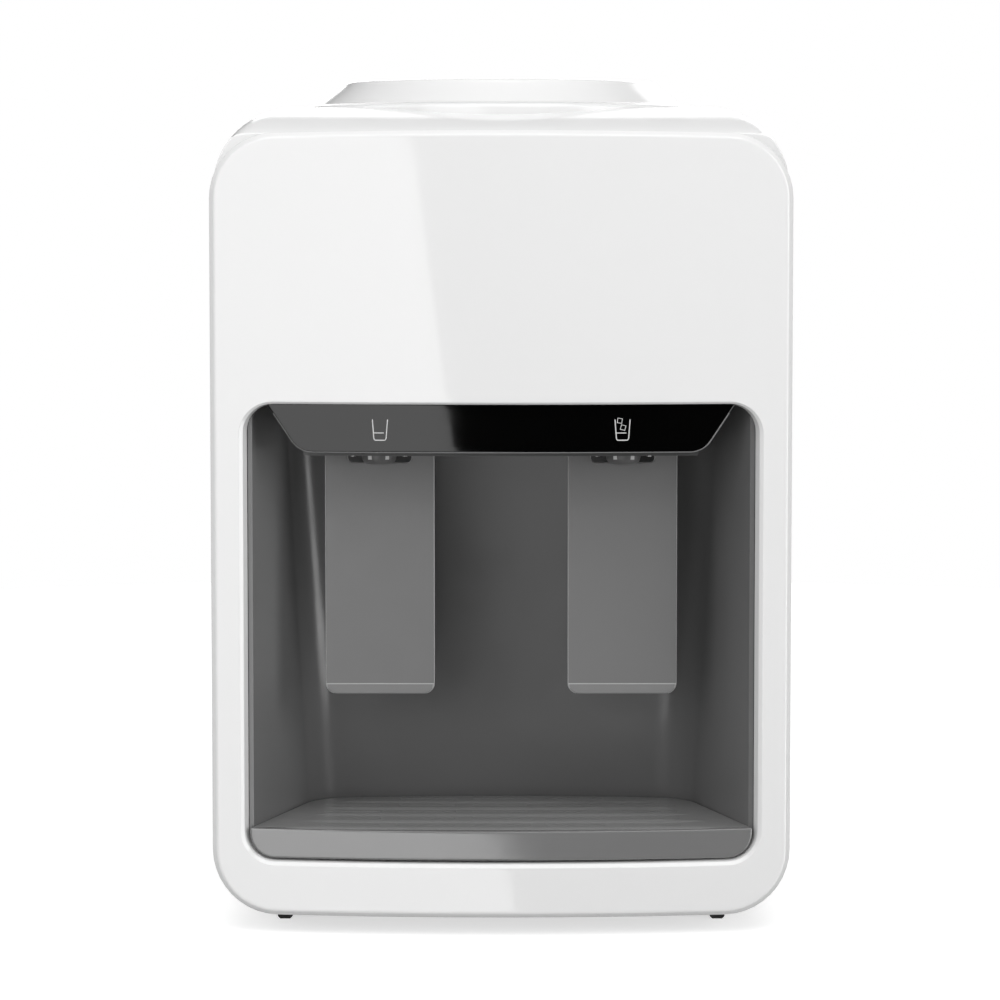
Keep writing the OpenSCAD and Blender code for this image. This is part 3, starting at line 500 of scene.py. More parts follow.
def brushed(name, grey, roughness, along="z", tint=(1, 1, 1)):
    """Metal with fine lines along one axis."""
    material = new_material(name, tuple(grey * t for t in tint), roughness, Metallic=1.0)
    tree = material.node_tree
    stretch = {"x": (2, 90, 90), "y": (90, 2, 90), "z": (90, 90, 2)}[along]
    lines = noise(tree, 12.0, 4.0, 0.7, stretch)
    ramp_colour(
        material, lines, tuple(grey * t * 0.9 for t in tint), tuple(min(grey * t * 1.08, 0.98) for t in tint)
    )
    ramp_roughness(material, lines, roughness * 0.8, roughness * 1.3)
    bump(material, lines, 0.15, 0.05)
    return material


def foam_material():
    """Expanded bead foam: cells that show as shallow dimples."""
    material = new_material("foam_beads", (0.86, 0.86, 0.84), 0.8)
    tree = material.node_tree
    coords = tree.nodes.new("ShaderNodeTexCoord")
    cells = tree.nodes.new("ShaderNodeTexVoronoi")
    cells.inputs["Scale"].default_value = 260.0
    tree.links.new(coords.outputs["Object"], cells.inputs["Vector"])
    ramp_colour(material, cells.outputs["Distance"], (0.88, 0.88, 0.86), (0.74, 0.74, 0.72))
    bump(material, cells.outputs["Distance"], 0.5, 0.6)
    return material


def board_material():
    """Green solder mask with a faint track pattern."""
    material = new_material("board_mask", (0.02, 0.16, 0.06), 0.35)
    tree = material.node_tree
    coords = tree.nodes.new("ShaderNodeTexCoord")
    bricks = tree.nodes.new("ShaderNodeTexBrick")
    bricks.inputs["Scale"].default_value = 60.0
    bricks.inputs["Color1"].default_value = (0.015, 0.14, 0.05, 1)
    bricks.inputs["Color2"].default_value = (0.02, 0.19, 0.07, 1)
    bricks.inputs["Mortar"].default_value = (0.05, 0.30, 0.12, 1)
    tree.links.new(coords.outputs["Object"], bricks.inputs["Vector"])
    tree.links.new(bricks.outputs["Color"], tree.nodes["Principled BSDF"].inputs["Base Color"])
    ramp_roughness(material, noise(tree, 80.0), 0.28, 0.42)
    bump(material, bricks.outputs["Fac"], 0.2, 0.1)
    return material


def make_materials():
    """Every finish by name."""
    return {
        "white_gloss": plastic("white_gloss", 0.73, 0.05, spread=0.004, ripple=0.0),
        "white_satin": plastic("white_satin", 0.75, 0.16, spread=0.006, ripple=0.004),
        "back_grey": plastic("back_grey", 0.62, 0.5, grain=900.0),
        "liner_grey": plastic("liner_grey", 0.15, 0.222, spread=0.01, ripple=0.002, Specular_IOR_Level=0.6),
        "liner_rim": plastic("liner_rim", 0.05, 0.4, spread=0.03),
        "black_gloss": plastic("black_gloss", 0.0012, 0.05, spread=0.1, ripple=0.0),
        "black_matte": plastic("black_matte", 0.03, 0.5, spread=0.1, grain=800.0),
        "paddle_grey": plastic("paddle_grey", 0.15, 0.42, spread=0.03, grain=1200.0),
        # Lighter copy of the paddle grey: a painted sheen for the paddle's forward-facing lower lip
        "paddle_lip_painted_sheen": plastic("paddle_lip_painted_sheen", 0.24, 0.42, spread=0.03),
        # Lighter copy of the paddle grey: a painted highlight for the paddle's eased rims and the crease over
        # its lip
        "paddle_edge_painted_highlight": plastic("paddle_edge_painted_highlight", 0.40, 0.36, spread=0.03),
        "header_grey": plastic("header_grey", 0.045, 0.5, spread=0.05, grain=800.0),
        "edge_grey": plastic("edge_grey", 0.14, 0.36, spread=0.03),
        "nozzle_grey": plastic("nozzle_grey", 0.10, 0.36, spread=0.05),
        "window_grey": plastic("window_grey", 0.52, 0.36, spread=0.02),
        "tray_grey": plastic("tray_grey", 0.17, 0.13, spread=0.02, ripple=0.004, Specular_IOR_Level=1.0),
        "grille_grey": plastic("grille_grey", 0.20, 0.34, spread=0.03, ripple=0.01),
        "rubber_dark": plastic("rubber_dark", 0.03, 0.7, spread=0.1, grain=700.0),
        "silicone": plastic("silicone", 0.45, 0.5, spread=0.04, tint=(0.95, 1, 1.06)),
        "funnel_white": plastic("funnel_white", 0.76, 0.21, tint=(0.98, 0.99, 1)),
        "probe_blue": plastic("probe_blue", 0.62, 0.21, tint=(0.8, 0.95, 1.1)),
        "reservoir_white": plastic("reservoir_white", 0.75, 0.4, tint=(0.97, 1, 1)),
        "tap_white": plastic("tap_white", 0.72, 0.4, tint=(1, 1, 0.97)),
        "hose_clear": plastic("hose_clear", 0.66, 0.35, tint=(0.97, 1, 1)),
        "stainless": brushed("stainless", 0.62, 0.20, "x"),
        "tank_steel": brushed("tank_steel", 0.58, 0.36, "z"),
        "screw_steel": brushed("screw_steel", 0.6, 0.36, "y"),
        "galvanised": brushed("galvanised", 0.55, 0.45, "x", (0.98, 1, 1.02)),
        "foam_white": foam_material(),
        "aluminium_block": brushed("aluminium_block", 0.72, 0.38, "x"),
        "aluminium_fins": brushed("aluminium_fins", 0.68, 0.4, "z"),
        "ceramic_white": plastic("ceramic_white", 0.8, 0.6, spread=0.02),
        "board_green": board_material(),
        "copper_coil": brushed("copper_coil", 0.6, 0.4, "z", (0.95, 0.62, 0.3)),
        "capacitor_blue": plastic("capacitor_blue", 0.16, 0.35, tint=(0.3, 0.5, 1.4)),
        "terminal_green": plastic("terminal_green", 0.2, 0.45, tint=(0.3, 1.5, 0.7)),
        "wire_red": plastic("wire_red", 0.3, 0.5, tint=(1.4, 0.12, 0.1)),
        "rocker_red": plastic("rocker_red", 0.4, 0.15, tint=(1.4, 0.08, 0.06)),
        "icon_ink": plastic("icon_ink", 0.62, 0.5, spread=0.02),
    }


def dress_frame(materials):
    """Gives every CAD node the finish of its slot."""
    slots = {s["node"]: s["material_slot"] for s in frame["record"]["subparts"]}
    for node, obj in frame["nodes"].items():
        obj.data.materials.clear()
        obj.data.materials.append(materials["header_grey" if node == "header_frame" else slots[node]])


# ---- Cabinet ----


def face_profile(chamfer):
    """(inset, depth) pairs of the chamfer between a panel's side and its face, its two edges eased."""
    ease = 0.45
    return [
        (0.0, chamfer + ease * 1.6),
        (0.03, chamfer + ease),
        (0.16, chamfer + ease * 0.35),
        (ease, chamfer - ease * 0.3),
        (chamfer - ease, ease * 0.95),
        (chamfer - 0.08, ease * 0.4),
        (chamfer + 0.45, 0.06),
        (chamfer + 1.0, 0.0),
    ]


def panel_outline(inset):
    """Outer outline of the front panel, drawn in by inset."""
    r = PANEL_R - inset
    return crowned(rounded_rect(HALF_W - inset, PANEL_Z0 + inset, PANEL_Z1 - inset, r, r))


def mouth_outline(t):
    """Outline of the mouth, from the face (0) to the inner end of its lip (1)."""
    r = MOUTH_R + (LIP_R - MOUTH_R) * t
    low = MOUTH_Z0 + (LIP_Z0 - MOUTH_Z0) * t
    high = MOUTH_Z1 + (LIP_Z1 - MOUTH_Z1) * t
    return rounded_rect(MOUTH_HALF + (LIP_HALF - MOUTH_HALF) * t, low, high, r, r)


def make_front_panel(materials):
    """Bowed white front with a chamfered edge, the mouth with its drawn-in lip, and the wall behind."""
    side = ((0.5, SEAM_Y), (0.0, SEAM_Y - 0.5), (0.0, SEAM_Y - 4))
    bevel = ((-0.08, 0.0), (0.0, 0.05), (0.06, 0.2), (0.3, 0.85), (0.5, 1.4), (0.57, 1.7), (0.6, 2.2))
    face_out, face_in = panel_outline(3.6), mouth_outline(-0.25)
    lip_r = LIP_R + LIP_WALL
    lip_out = rounded_rect(LIP_HALF + LIP_WALL, LIP_Z0 - LIP_WALL, LIP_Z1 + LIP_WALL, lip_r, lip_r)
    back_out = panel_outline(PANEL_WALL)
    loops = [flat_at(panel_outline(inset), y) for inset, y in side]
    loops += [on_bow(panel_outline(inset), depth) for inset, depth in face_profile(PANEL_CHAMFER)]
    for t in (0.04, 0.12, 0.25, 0.4, 0.55, 0.7, 0.82, 0.92, 0.97):
        loops.append(on_bow(mix(face_out, face_in, t), 0.0))
    loops += [on_bow(mouth_outline(t), depth) for t, depth in bevel]
    loops += [flat_at(mouth_outline(0.97), LIP_REAR_Y - 1), flat_at(mouth_outline(1.0), LIP_REAR_Y)]
    loops += [flat_at(lip_out, LIP_REAR_Y), on_bow(lip_out, PANEL_WALL + 1.0)]
    loops += [on_bow(mix(lip_out, back_out, t), PANEL_WALL) for t in (0.15, 0.5, 0.85)]
    loops += [on_bow(back_out, PANEL_WALL + 0.5), flat_at(back_out, SEAM_Y)]
    panel = to_object("front_panel_moulding", *loft(loops, close=True))
    place(panel, "cabinet", "white_gloss", "front_panel", material=materials["white_gloss"])


def shell_top(y):
    """Height of the crowned top at depth y: it drops to the panel's top edge over the shoulder."""
    drop = SHELL_Z1 - PANEL_Z1
    run = math.sqrt(2 * SHOULDER_R * drop - drop * drop)
    back = min(max(SEAM_Y + run - y, 0), run)
    return SHELL_Z1 - (SHOULDER_R - math.sqrt(SHOULDER_R**2 - back**2))


def shell_section(y, inset, z_low):
    """Half-open section of the shell at y, from the right foot over the top to the left foot."""
    top = SHELL_Z1 - inset
    half, r = SHELL_HALF - inset, SHELL_R - inset
    right = [(half, z_low + (top - r - z_low) * i / 8) for i in range(8)]
    right += arc(half - r, top - r, r, 0, 90, 18)
    middle = between(right[-1], (-right[-1][0], right[-1][1]), 16)
    left = [(-x, z) for x, z in reversed(right)]
    limit = shell_top(y) - inset
    drop = (top - limit) / (SHELL_Z1 - PANEL_Z1)
    blend = SHOULDER_BLEND * drop
    section = []
    for x, z in right + middle + left:
        under = (z + limit - math.hypot(z - limit, 2 * blend)) / 2
        fall = SHOULDER_CROWN * drop * min(abs(x) / CROWN_X, 1.3) ** 2
        section.append((x, under - fall * (z > top - r)))
    return section


def rear_stations():
    """(y, inset) pairs round the rear edge of the cabinet."""
    turns = [math.radians(a) for a in range(15, 91, 15)]
    return [
        (REAR_Y - REAR_ROUND + REAR_ROUND * math.sin(t), REAR_ROUND - REAR_ROUND * math.cos(t)) for t in turns
    ]


def make_body_shell(materials):
    """Sides and crowned top in one moulding, with a rounded rear edge and the hole for the collar."""
    z_low = TUB_HIGH[2] + 0.4
    front = SEAM_Y + SEAM_GAP
    level, end = front + SHOULDER_DEPTH, REAR_Y - REAR_ROUND - 1
    depths = [front + SHOULDER_DEPTH * i / 14 for i in range(1, 15)]
    depths += [level + (end - level) * i / 8 for i in range(1, 9)]
    stations = [(front, 0.5), (front + 0.5, 0.0), *((y, 0.0) for y in depths), *rear_stations()]
    outer = [flat_at(shell_section(y, inset, z_low), y) for y, inset in stations]
    inner = [flat_at(shell_section(y, SHELL_WALL, z_low), y) for y, _ in reversed(stations[2:])]
    bulkhead = ((SHELL_WALL, SHELL_WALL), (BULKHEAD, SHELL_WALL), (BULKHEAD, 0.0))
    inner += [flat_at(shell_section(front, inset, z_low), front + behind) for inset, behind in bulkhead]
    ring = outer + inner
    n, count = len(ring[0]), len(ring)
    verts, faces = open_loft(ring, range(count))
    faces += [tuple(i * n + k for i in range(count)) for k in (0, n - 1)]
    shell = to_object("body_shell_moulding", verts, faces)
    cut(shell, [to_object("hole", *prism(circle(COLLAR_HOLE_R, 0, 64), 380, 440, "z"))])
    place(shell, "cabinet", "white_satin", "body_shell", material=materials["white_satin"])


def tub_section(inset, low):
    """Half-open section of the tub, from the right rim under the floor to the left rim."""
    z0, z1 = TUB_LOW[2], TUB_HIGH[2]
    half, r = SHELL_HALF - inset, PANEL_R - inset
    right = [(half, z1 - (z1 - z0 - PANEL_R) * i / 3) for i in range(3)]
    right += arc(half - r, z0 + PANEL_R, r, 0, -90, 14)
    right = [(x, max(z, low)) for x, z in right]
    middle = between(right[-1], (-right[-1][0], right[-1][1]), 16)
    return right + middle + [(-x, z) for x, z in reversed(right)]


def make_base_tub(materials):
    """Lower part of the cabinet: a shallow tub with rounded lower corners and floor slots."""
    floor, front = TUB_LOW[2], SEAM_Y + SEAM_GAP
    end = REAR_Y - REAR_ROUND - 1
    stations = [(front, 0.5), (front + 0.5, 0.0)]
    stations += [(front + (end - front) * i / 12, 0.0) for i in range(1, 13)]
    stations += rear_stations()
    outer = [flat_at(tub_section(inset, 0), y) for y, inset in stations]
    inner = [flat_at(tub_section(SHELL_WALL, floor + 3), y) for y, _ in reversed(stations)]
    ring = outer + inner
    verts, faces = open_loft(ring, range(len(ring)))
    faces += edge_strips(len(ring[0]), len(ring), len(outer) - 1)
    tub = to_object("base_tub_moulding", verts, faces)
    slots = []
    for i in range(7):
        low, high = (-70, 94 + 7 * i, floor - 2), (70, 97 + 7 * i, floor + 6)
        slots.append(to_object("slot", *box_part(low, high)))
    cut(tub, slots)
    place(tub, "cabinet", "white_satin", "base_tub", material=materials["white_satin"])


def flange_wall(share, segments):
    """Ring on the flange's rounded outer wall, from its level top (0) down to the crowned shell (1)."""
    level = SHELL_Z1 + 1.7
    loop = []
    for k in range(segments):
        turn = 2 * math.pi * k / segments
        surface = shell_top(FLANGE_R * math.sin(turn)) - 0.15
        z = level + (surface - level) * share
        sink = min((level - z) / FLANGE_ROUND, 1)
        r = FLANGE_R - FLANGE_ROUND * (1 - math.sqrt(1 - (1 - sink) ** 2))
        loop.append((r * math.cos(turn), r * math.sin(turn), z))
    return loop


def make_collar(materials):
    """White cone on a flange that follows the crowned top, open in the middle for the bottle."""
    top, base, segments = COLLAR_Z, SHELL_Z1, 144
    inside = [
        (66.0, 403.6), (66.4, 404.0), (71.6, 404.0), (72.0, 404.4), (72.0, COLLAR_STEP_Z - 0.4),
        (72.3, COLLAR_STEP_Z), (74.0, COLLAR_STEP_Z), (74.0, top - 6), (74.4, top - 5.2), (77.2, top - 1.0),
        (78.2, top - 0.2), (79.0, top), (81.0, top), (82.0, top - 0.2), (82.8, top - 0.7), (83.6, top - 1.5),
    ]
    cone = [
        (84.4, top - 2.3), (87.4, top - 4.7), (90.4, top - 7.1), (93.4, top - 9.45), (95.6, base + 3.3),
        (96.2, base + 2.75), (96.9, base + 2.4), (98.0, base + 2.2), (101.0, base + 1.9),
    ]
    under = [(88.0, base - 1.6), (88.0, 408.5), (75.0, 408.5), (75.0, 402.0), (66.0, 402.0)]
    loops = [circle(r, z, segments) for r, z in inside + cone]
    loops += [flange_wall(share, segments) for share in (0, 0.03, 0.08, 0.16, 0.26, 0.4, 0.6, 0.8, 1)]
    loops += [circle(r, z, segments) for r, z in under]
    collar = to_object("bottle_collar_moulding", *loft(loops, close=True))
    place(collar, "cabinet", "white_satin", "bottle_collar", material=materials["white_satin"])


# ---- Dispensing bay ----


def plan_rear(side, front, depth, r):
    """Rounded rear corner on the right, from the side wall to the middle of the bowed back."""
    corner = Vector((side, FRONT_Y + depth - BAY_BACK_BOW))
    to_front = (Vector(front) - corner).normalized()
    to_back = (Vector((0, FRONT_Y + depth)) - corner).normalized()
    turn = corner_turn(corner, to_front, to_back, r)
    x_end, y_end = turn[-1]
    lift = x_end * x_end * BAY_BACK_BOW / (side * side + BAY_BACK_BOW**2)
    return turn + [(x_end * (1 - i / 8), y_end + lift * (1 - (1 - i / 8) ** 2)) for i in range(1, 9)]


def bay_plan(z, grow=0.0):
    """Open plan of the bay at height z, from the front right round the back to the front left."""
    depth = BAY_DEPTH - CAVITY_LEAN * (z - GRILLE_Z) + grow
    side = BAY_HALF - BAY_DRAW * (depth - BAY_BACK_BOW - BAY_HALF_DEPTH) + grow
    mouth_y = LIP_REAR_Y + 0.3
    mouth = BAY_HALF - BAY_DRAW * (mouth_y - FRONT_Y - BAY_HALF_DEPTH) + grow
    rear = plan_rear(side, (mouth, mouth_y), depth, BAY_CORNER_R + grow)
    x_side, y_side = rear[0]
    right = [(mouth + (x_side - mouth) * i / 6, mouth_y + (y_side - mouth_y) * i / 6) for i in range(6)]
    right += rear
    return right + [(-x, y) for x, y in reversed(right[:-1])]


def make_liner_flange(materials):
    """Flat dark flange of the bay, behind the lip of the front panel."""
    inner = rounded_rect(LIP_HALF - 2.6, 38.6, 267.2, 11, 11)
    outer = rounded_rect(LIP_HALF + 6.5, 31, 274, 19, 19)
    near, far = LIP_REAR_Y + 0.5, LIP_REAR_Y + 2.5
    loops = [flat_at(inner, near), flat_at(outer, near), flat_at(outer, far), flat_at(inner, far)]
    flange = to_object("liner_flange", *loft(loops, close=True))
    place(flange, "cabinet", "liner_grey", material=materials["liner_rim"])


def make_liner(materials):
    """Dark bay moulding: side walls, leaning back with rounded upright corners, floor and ceiling."""
    heights = [BAY_Z0 + (BAY_Z1 - BAY_Z0) * i / 12 for i in range(13)]
    outer_heights = [BAY_Z1 + BAY_WALL, *reversed(heights[1:-1]), BAY_Z0 - BAY_WALL]
    inner = [level_at(bay_plan(z), z) for z in heights]
    outer = [level_at(bay_plan(z, BAY_WALL), z) for z in outer_heights]
    ring = inner + outer
    n, count, last = len(ring[0]), len(ring), len(inner) - 1
    verts, faces = open_loft(ring, (*range(last), *range(last + 1, count - 1)))
    faces += edge_strips(n, count, last)
    faces += [tuple(i * n + k for k in range(n)) for i in (0, last, last + 1, count - 1)]
    for i, j in ((0, count - 1), (last, last + 1)):
        faces.append((i * n, i * n + n - 1, j * n + n - 1, j * n))
    liner = to_object("cavity_liner_moulding", verts, faces)
    openings = []
    for x in (-TAP_X, TAP_X):
        low, high = (x - 28.4, FRONT_Y + 21, BAY_Z1 - 3), (x + 28.4, FRONT_Y + 56, BAY_Z1 + 5)
        openings.append(to_object("window", *box_part(low, high)))
        pipe = [(x, FRONT_Y + 70, TAP_PIPE_Z), (x, FRONT_Y + 100, TAP_PIPE_Z)]
        openings.append(to_object("pipe_hole", *tube(pipe, 5, 24)))
    cut(liner, openings)
    make_liner_flange(materials)
    place(liner, "cabinet", "liner_grey", "cavity_liner", material=materials["liner_grey"])


# ---- Header ----


def strip_outline(inset):
    """Header's front view: straight top, slanted ends, large lower corners; steps match at any inset."""
    top = STRIP_Z1 - inset * 0.4
    low = STRIP_Z0 + inset
    half_top = STRIP_HALF - inset * 1.2
    corner = Vector((half_top - STRIP_SLOPE * (top - low), low))
    up = (Vector((half_top, top)) - corner).normalized()
    turn = corner_turn(corner, Vector((-1, 0)), up, STRIP_CORNER - inset, 10)
    right = [*turn, *between(turn[-1], (half_top, top), 4), (half_top, top)]
    left = [(-x, z) for x, z in reversed(right)]
    return right + between(right[-1], left[0], 40) + left + between(left[-1], right[0], 40)


def strip_half(z):
    """Half width of the strip's slanted outline at height z."""
    return STRIP_HALF - STRIP_SLOPE * (STRIP_Z1 - z)


def grid_fill(outline, depth, rows=4):
    """Rings from an outline in to its middle line, on the bow, keeping inside the slanted ends."""
    mid = (STRIP_Z0 + STRIP_Z1) / 2
    rings = []
    for i in range(1, rows + 1):
        t = i / rows
        ring = []
        for x, z in outline:
            inner = z + (mid - z) * t
            ring.append((x * min(strip_half(inner) / strip_half(z), 1) * (1 - 0.01 * t), inner))
        rings.append(on_bow(ring, depth))
    return rings


def make_header(materials):
    """Black gloss strip and its lighter eased edge."""
    rim = ((0.0, 2.2), (0.0, 0.55), (0.12, 0.2), (0.45, 0.02), (0.75, 0.0))
    loops = [on_bow(strip_outline(inset), STRIP_RECESS + depth) for inset, depth in rim]
    loops += grid_fill(strip_outline(0.75), STRIP_RECESS)
    strip = to_object("header_strip_gloss", *loft(loops, cap_start=True))
    place(strip, "cabinet", "black_gloss", "header_strip", material=materials["black_gloss"])
    trim = to_object("header_strip_edge", *header_edge())
    place(trim, "cabinet", "black_matte", material=materials["edge_grey"])


def header_edge():
    """Thin lighter line round the strip's ends and lower edge."""
    outline = strip_outline(0.0)
    points = on_bow(outline, STRIP_RECESS + 0.35)
    n = len(points)
    top = STRIP_Z1 - 0.3
    start = next(i for i in range(n) if outline[i][1] > top and outline[(i + 1) % n][1] > top)
    order = [(start + i) % n for i in range(n)]
    run = [points[i] for i in order if outline[i][1] <= top]
    return tube(run, 0.32, 8)


# ---- Icons ----


def icon_stroke(points, r, closed=False):
    """Flat-lying stroke on the strip's face."""
    return tube(on_bow(points, STRIP_RECESS - 0.03), r, 6, closed)


def glass_strokes(cx):
    """Tumbler that narrows downwards, with the line of the water in it."""
    low, high = ICON_Z0, ICON_Z1
    wall = [
        (cx - 3.75, high), (cx - 3.05, low + 1.0), (cx - 2.75, low + 0.3), (cx - 2.4, low),
        (cx + 2.4, low), (cx + 2.75, low + 0.3), (cx + 3.05, low + 1.0), (cx + 3.75, high),
    ]
    water = [(cx - 3.1, low + 3.6), (cx + 1.9, low + 3.6)]
    return [icon_stroke(wall, ICON_STROKE), icon_stroke(water, ICON_STROKE * 0.9)]


def make_icons(materials):
    """A plain glass over the left tap, and a glass with two ice cubes over the right one."""
    parts = glass_strokes(-ICON_X) + glass_strokes(ICON_X)
    cube_r = 1.62
    for dx, dz, turn in ((-1.35, 9.7, 35), (0.3, 6.3, 30)):
        corners = arc(ICON_X + dx, ICON_Z0 + dz, cube_r, turn, turn + 270, 3)
        parts.append(icon_stroke(corners, 0.24, closed=True))
    icons = to_object("tap_icons", *merge(parts))
    place(icons, "cabinet", "black_gloss", material=materials["icon_ink"])


# ---- Paddles and nozzles ----


def paddle_front():
    """Front outline of the paddle plate with its notch, in x and z about the tap's middle."""
    half, low, top = PADDLE_HALF, PADDLE_LOW[2], HINGE_Z - 8
    r, notch, notch_z, nr = 5.6, 16.0, 235.0, 2.2
    points = arc(half - r, low + r, r, -90, 0, 6)
    points += [(half, top), (notch, top)]
    points += arc(notch - nr, notch_z + nr, nr, 0, -90, 4)
    points += arc(nr - notch, notch_z + nr, nr, 270, 180, 4)
    points += [(-notch, top), (-half, top)]
    points += arc(r - half, low + r, r, 180, 270, 6)
    return points


def paddle_plate(name, cx):
    """Plate with eased rims, its lower lip bent back."""
    bm = bmesh.new()
    face = bm.faces.new([bm.verts.new((x, 0, z)) for x, z in paddle_front()])
    grown = bmesh.ops.extrude_face_region(bm, geom=[face])
    for v in [g for g in grown["geom"] if isinstance(g, bmesh.types.BMVert)]:
        v.co.y += PADDLE_WALL
    bmesh.ops.recalc_face_normals(bm, faces=bm.faces)
    rims = [e for e in bm.edges if e.calc_face_angle(0) > math.radians(60)]
    bmesh.ops.bevel(bm, geom=rims, offset=0.8, segments=3, profile=0.5, affect="EDGES")
    for rise in (PADDLE_LINE, 0, -PADDLE_LINE):
        geom = [*bm.verts, *bm.edges, *bm.faces]
        level = (0, 0, PADDLE_BEND_Z + rise)
        bmesh.ops.bisect_plane(bm, geom=geom, plane_co=level, plane_no=(0, 0, 1))
    for v in bm.verts:
        y = v.co.y + PADDLE_FACE_Y + max(PADDLE_BEND_Z - v.co.z, 0) * PADDLE_BEND
        v.co = Vector((v.co.x + cx, y, v.co.z)) * MM
    bmesh.ops.triangulate(bm, faces=[f for f in bm.faces if len(f.verts) > 4])
    mesh = bpy.data.meshes.new(name)
    bm.to_mesh(mesh)
    bm.free()
    plate = bpy.data.objects.new(name, mesh)
    bpy.context.scene.collection.objects.link(plate)
    finish_mesh(mesh, 30)
    return plate


def paddle_arms(name, cx):
    """Stiffening returns behind the plate, hinge arms and the bar over the plunger."""
    y, z = PADDLE_FACE_Y, HINGE_Z
    side_view = [
        (y + 0.2, 232), (HINGE_Y + 3.6, 232), (HINGE_Y + 4.4, z), (HINGE_Y + 2.5, z + 4.2),
        (HINGE_Y - 1, z + 6), (TAP_Y + 1.5, 272), (TAP_Y + 1.5, 275), (TAP_Y - 1.5, 275),
        (TAP_Y - 1.5, 272), (y - 0.6, z + 5), (y + 0.2, z - 3),
    ]
    parts = []
    for turn in (-1, 1):
        x0, x1 = sorted(cx + turn * (PADDLE_HALF - inset) for inset in (0.1, 1.9))
        parts.append(box_part((x0, y + PADDLE_WALL - 0.2, PADDLE_BEND_Z + 6), (x1, y + 9, z - 8)))
        x0, x1 = sorted((cx + turn * 18.0, cx + turn * (PADDLE_HALF - 0.6)))
        parts.append(prism(side_view, x0, x1, "x"))
    parts.append(box_part((cx - 19, TAP_Y - 1.5, 272), (cx + 19, TAP_Y + 1.5, 275)))
    arms = to_object(f"{name}_arms", *merge(parts))
    add_bevel(arms, 0.4)
    return arms


def make_paddle(name, side, materials):
    """Paddle with its arms; a painted highlight on its eased edges and on the line over the lip, and a
    painted sheen on its lip, both lighter than the plate.
    """
    plate = paddle_plate(name, side * TAP_X)
    arms = paddle_arms(name, side * TAP_X)
    place(arms, name, "paddle_grey", material=materials["paddle_grey"])
    place(plate, name, "paddle_grey", name, material=materials["paddle_grey"])
    lip, edge = 1, 2
    plate.data.materials.append(materials["paddle_lip_painted_sheen"])
    plate.data.materials.append(materials["paddle_edge_painted_highlight"])
    for polygon in plate.data.polygons:
        rise = polygon.center.z / MM - PADDLE_BEND_Z
        across, ahead = abs(polygon.normal.x), polygon.normal.y
        # Forward-facing faces of the eased rims and of the band along the lip's crease get the painted
        # highlight
        eased = -0.96 < ahead < -0.2 and (rise > 0.6 or across > 0.2)
        if eased or (abs(rise) < PADDLE_LINE and ahead < -0.3):
            polygon.material_index = edge
        # Forward-facing faces of the lip below the bend get the painted sheen
        elif rise < 0 and ahead < -0.2:
            polygon.material_index = lip


def make_nozzle(name, side, materials):
    """Short spout: round neck that draws in to its outlet, with two light windows in the front."""
    cx = side * TAP_X
    tip, top, r = NOZZLE_LOW[2], NOZZLE_HIGH[2] - 0.2, NOZZLE_R
    profile = [
        (5.2, tip + 0.3), (5.6, tip), (6.2, tip), (6.9, tip + 0.25), (7.8, tip + 1.0), (8.4, tip + 1.9),
        (8.7, tip + 3.0), (r, tip + 4.2), (r, top), (7.0, top), (7.0, tip + 2.4), (5.2, tip + 2.2),
    ]
    rings = [circle(radius, z, 48, (cx, TAP_Y)) for radius, z in profile]
    spout = to_object(f"{name}_spout", *loft(rings, close=True))
    place(spout, "cabinet", "nozzle_grey", name, material=materials["nozzle_grey"])
    windows = []
    for x in (-4.25, 4.25):
        y = TAP_Y - math.sqrt(r * r - x * x)
        windows.append(box_part((cx + x - 1.0, y - 0.35, tip + 2.6), (cx + x + 1.0, y + 1.0, tip + 7.6)))
    window = to_object(f"{name}_windows", *merge(windows))
    add_bevel(window, 0.15)
    place(window, "cabinet", "nozzle_grey", material=materials["window_grey"])


# ---- Drip tray ----


def tray_plan(inset):
    """Sides and bowed back of the tray's plan, from the right corner round to the left one."""
    depth = TRAY_DEPTH - inset
    side = TRAY_SIDE_HALF - BAY_DRAW * (depth - BAY_BACK_BOW - TRAY_SIDE_DEPTH) - inset
    front = (TRAY_SIDE_HALF - inset, FRONT_Y + TRAY_SIDE_DEPTH)
    right = plan_rear(side, front, depth, BAY_CORNER_R - inset)
    return right + [(-x, y) for x, y in reversed(right[:-1])]


def bowed_front(half, depth, steps=28):
    """Front edge of a plan, from left to right along the bow."""
    return [
        (x, FRONT_Y + bow(x) + depth)
        for x in (-half + 2 * half * i / steps for i in range(steps + 1))
    ]


def tray_outline(inset, depth):
    """Closed plan: the bowed front, then the right side, the back and the left side."""
    return bowed_front(TRAY_HALF - 0.4 - inset, depth) + tray_plan(inset)


def tray_plate(inset):
    """Front outline of the tray: large lower corners, nearly square upper ones."""
    half, low, high = TRAY_HALF - inset, TRAY_Z0 + inset, GRILLE_Z - inset
    return rounded_rect(half, low, high, 12.5 - inset, 0.9 - inset * 0.6, wide=40, tall=4)


def make_tray_front(materials):
    """Glossy bowed front plate with rounded lower corners."""
    rim = ((0.0, 3.0), (0.0, 0.9), (0.25, 0.3), (0.7, 0.05), (1.1, 0.0))
    loops = [on_bow(tray_plate(inset), TRAY_RECESS + depth) for inset, depth in rim]
    mid = (TRAY_Z0 + GRILLE_Z) / 2
    for t in (0.4, 0.8, 1.0):
        drawn_in = [(x * (1 - 0.03 * t), z + (mid - z) * t) for x, z in tray_plate(1.1)]
        loops.append(on_bow(drawn_in, TRAY_RECESS))
    front = to_object("drip_tray_front", *loft(loops, cap_start=True))
    place(front, "tray", "tray_grey", "drip_tray", material=materials["tray_grey"])


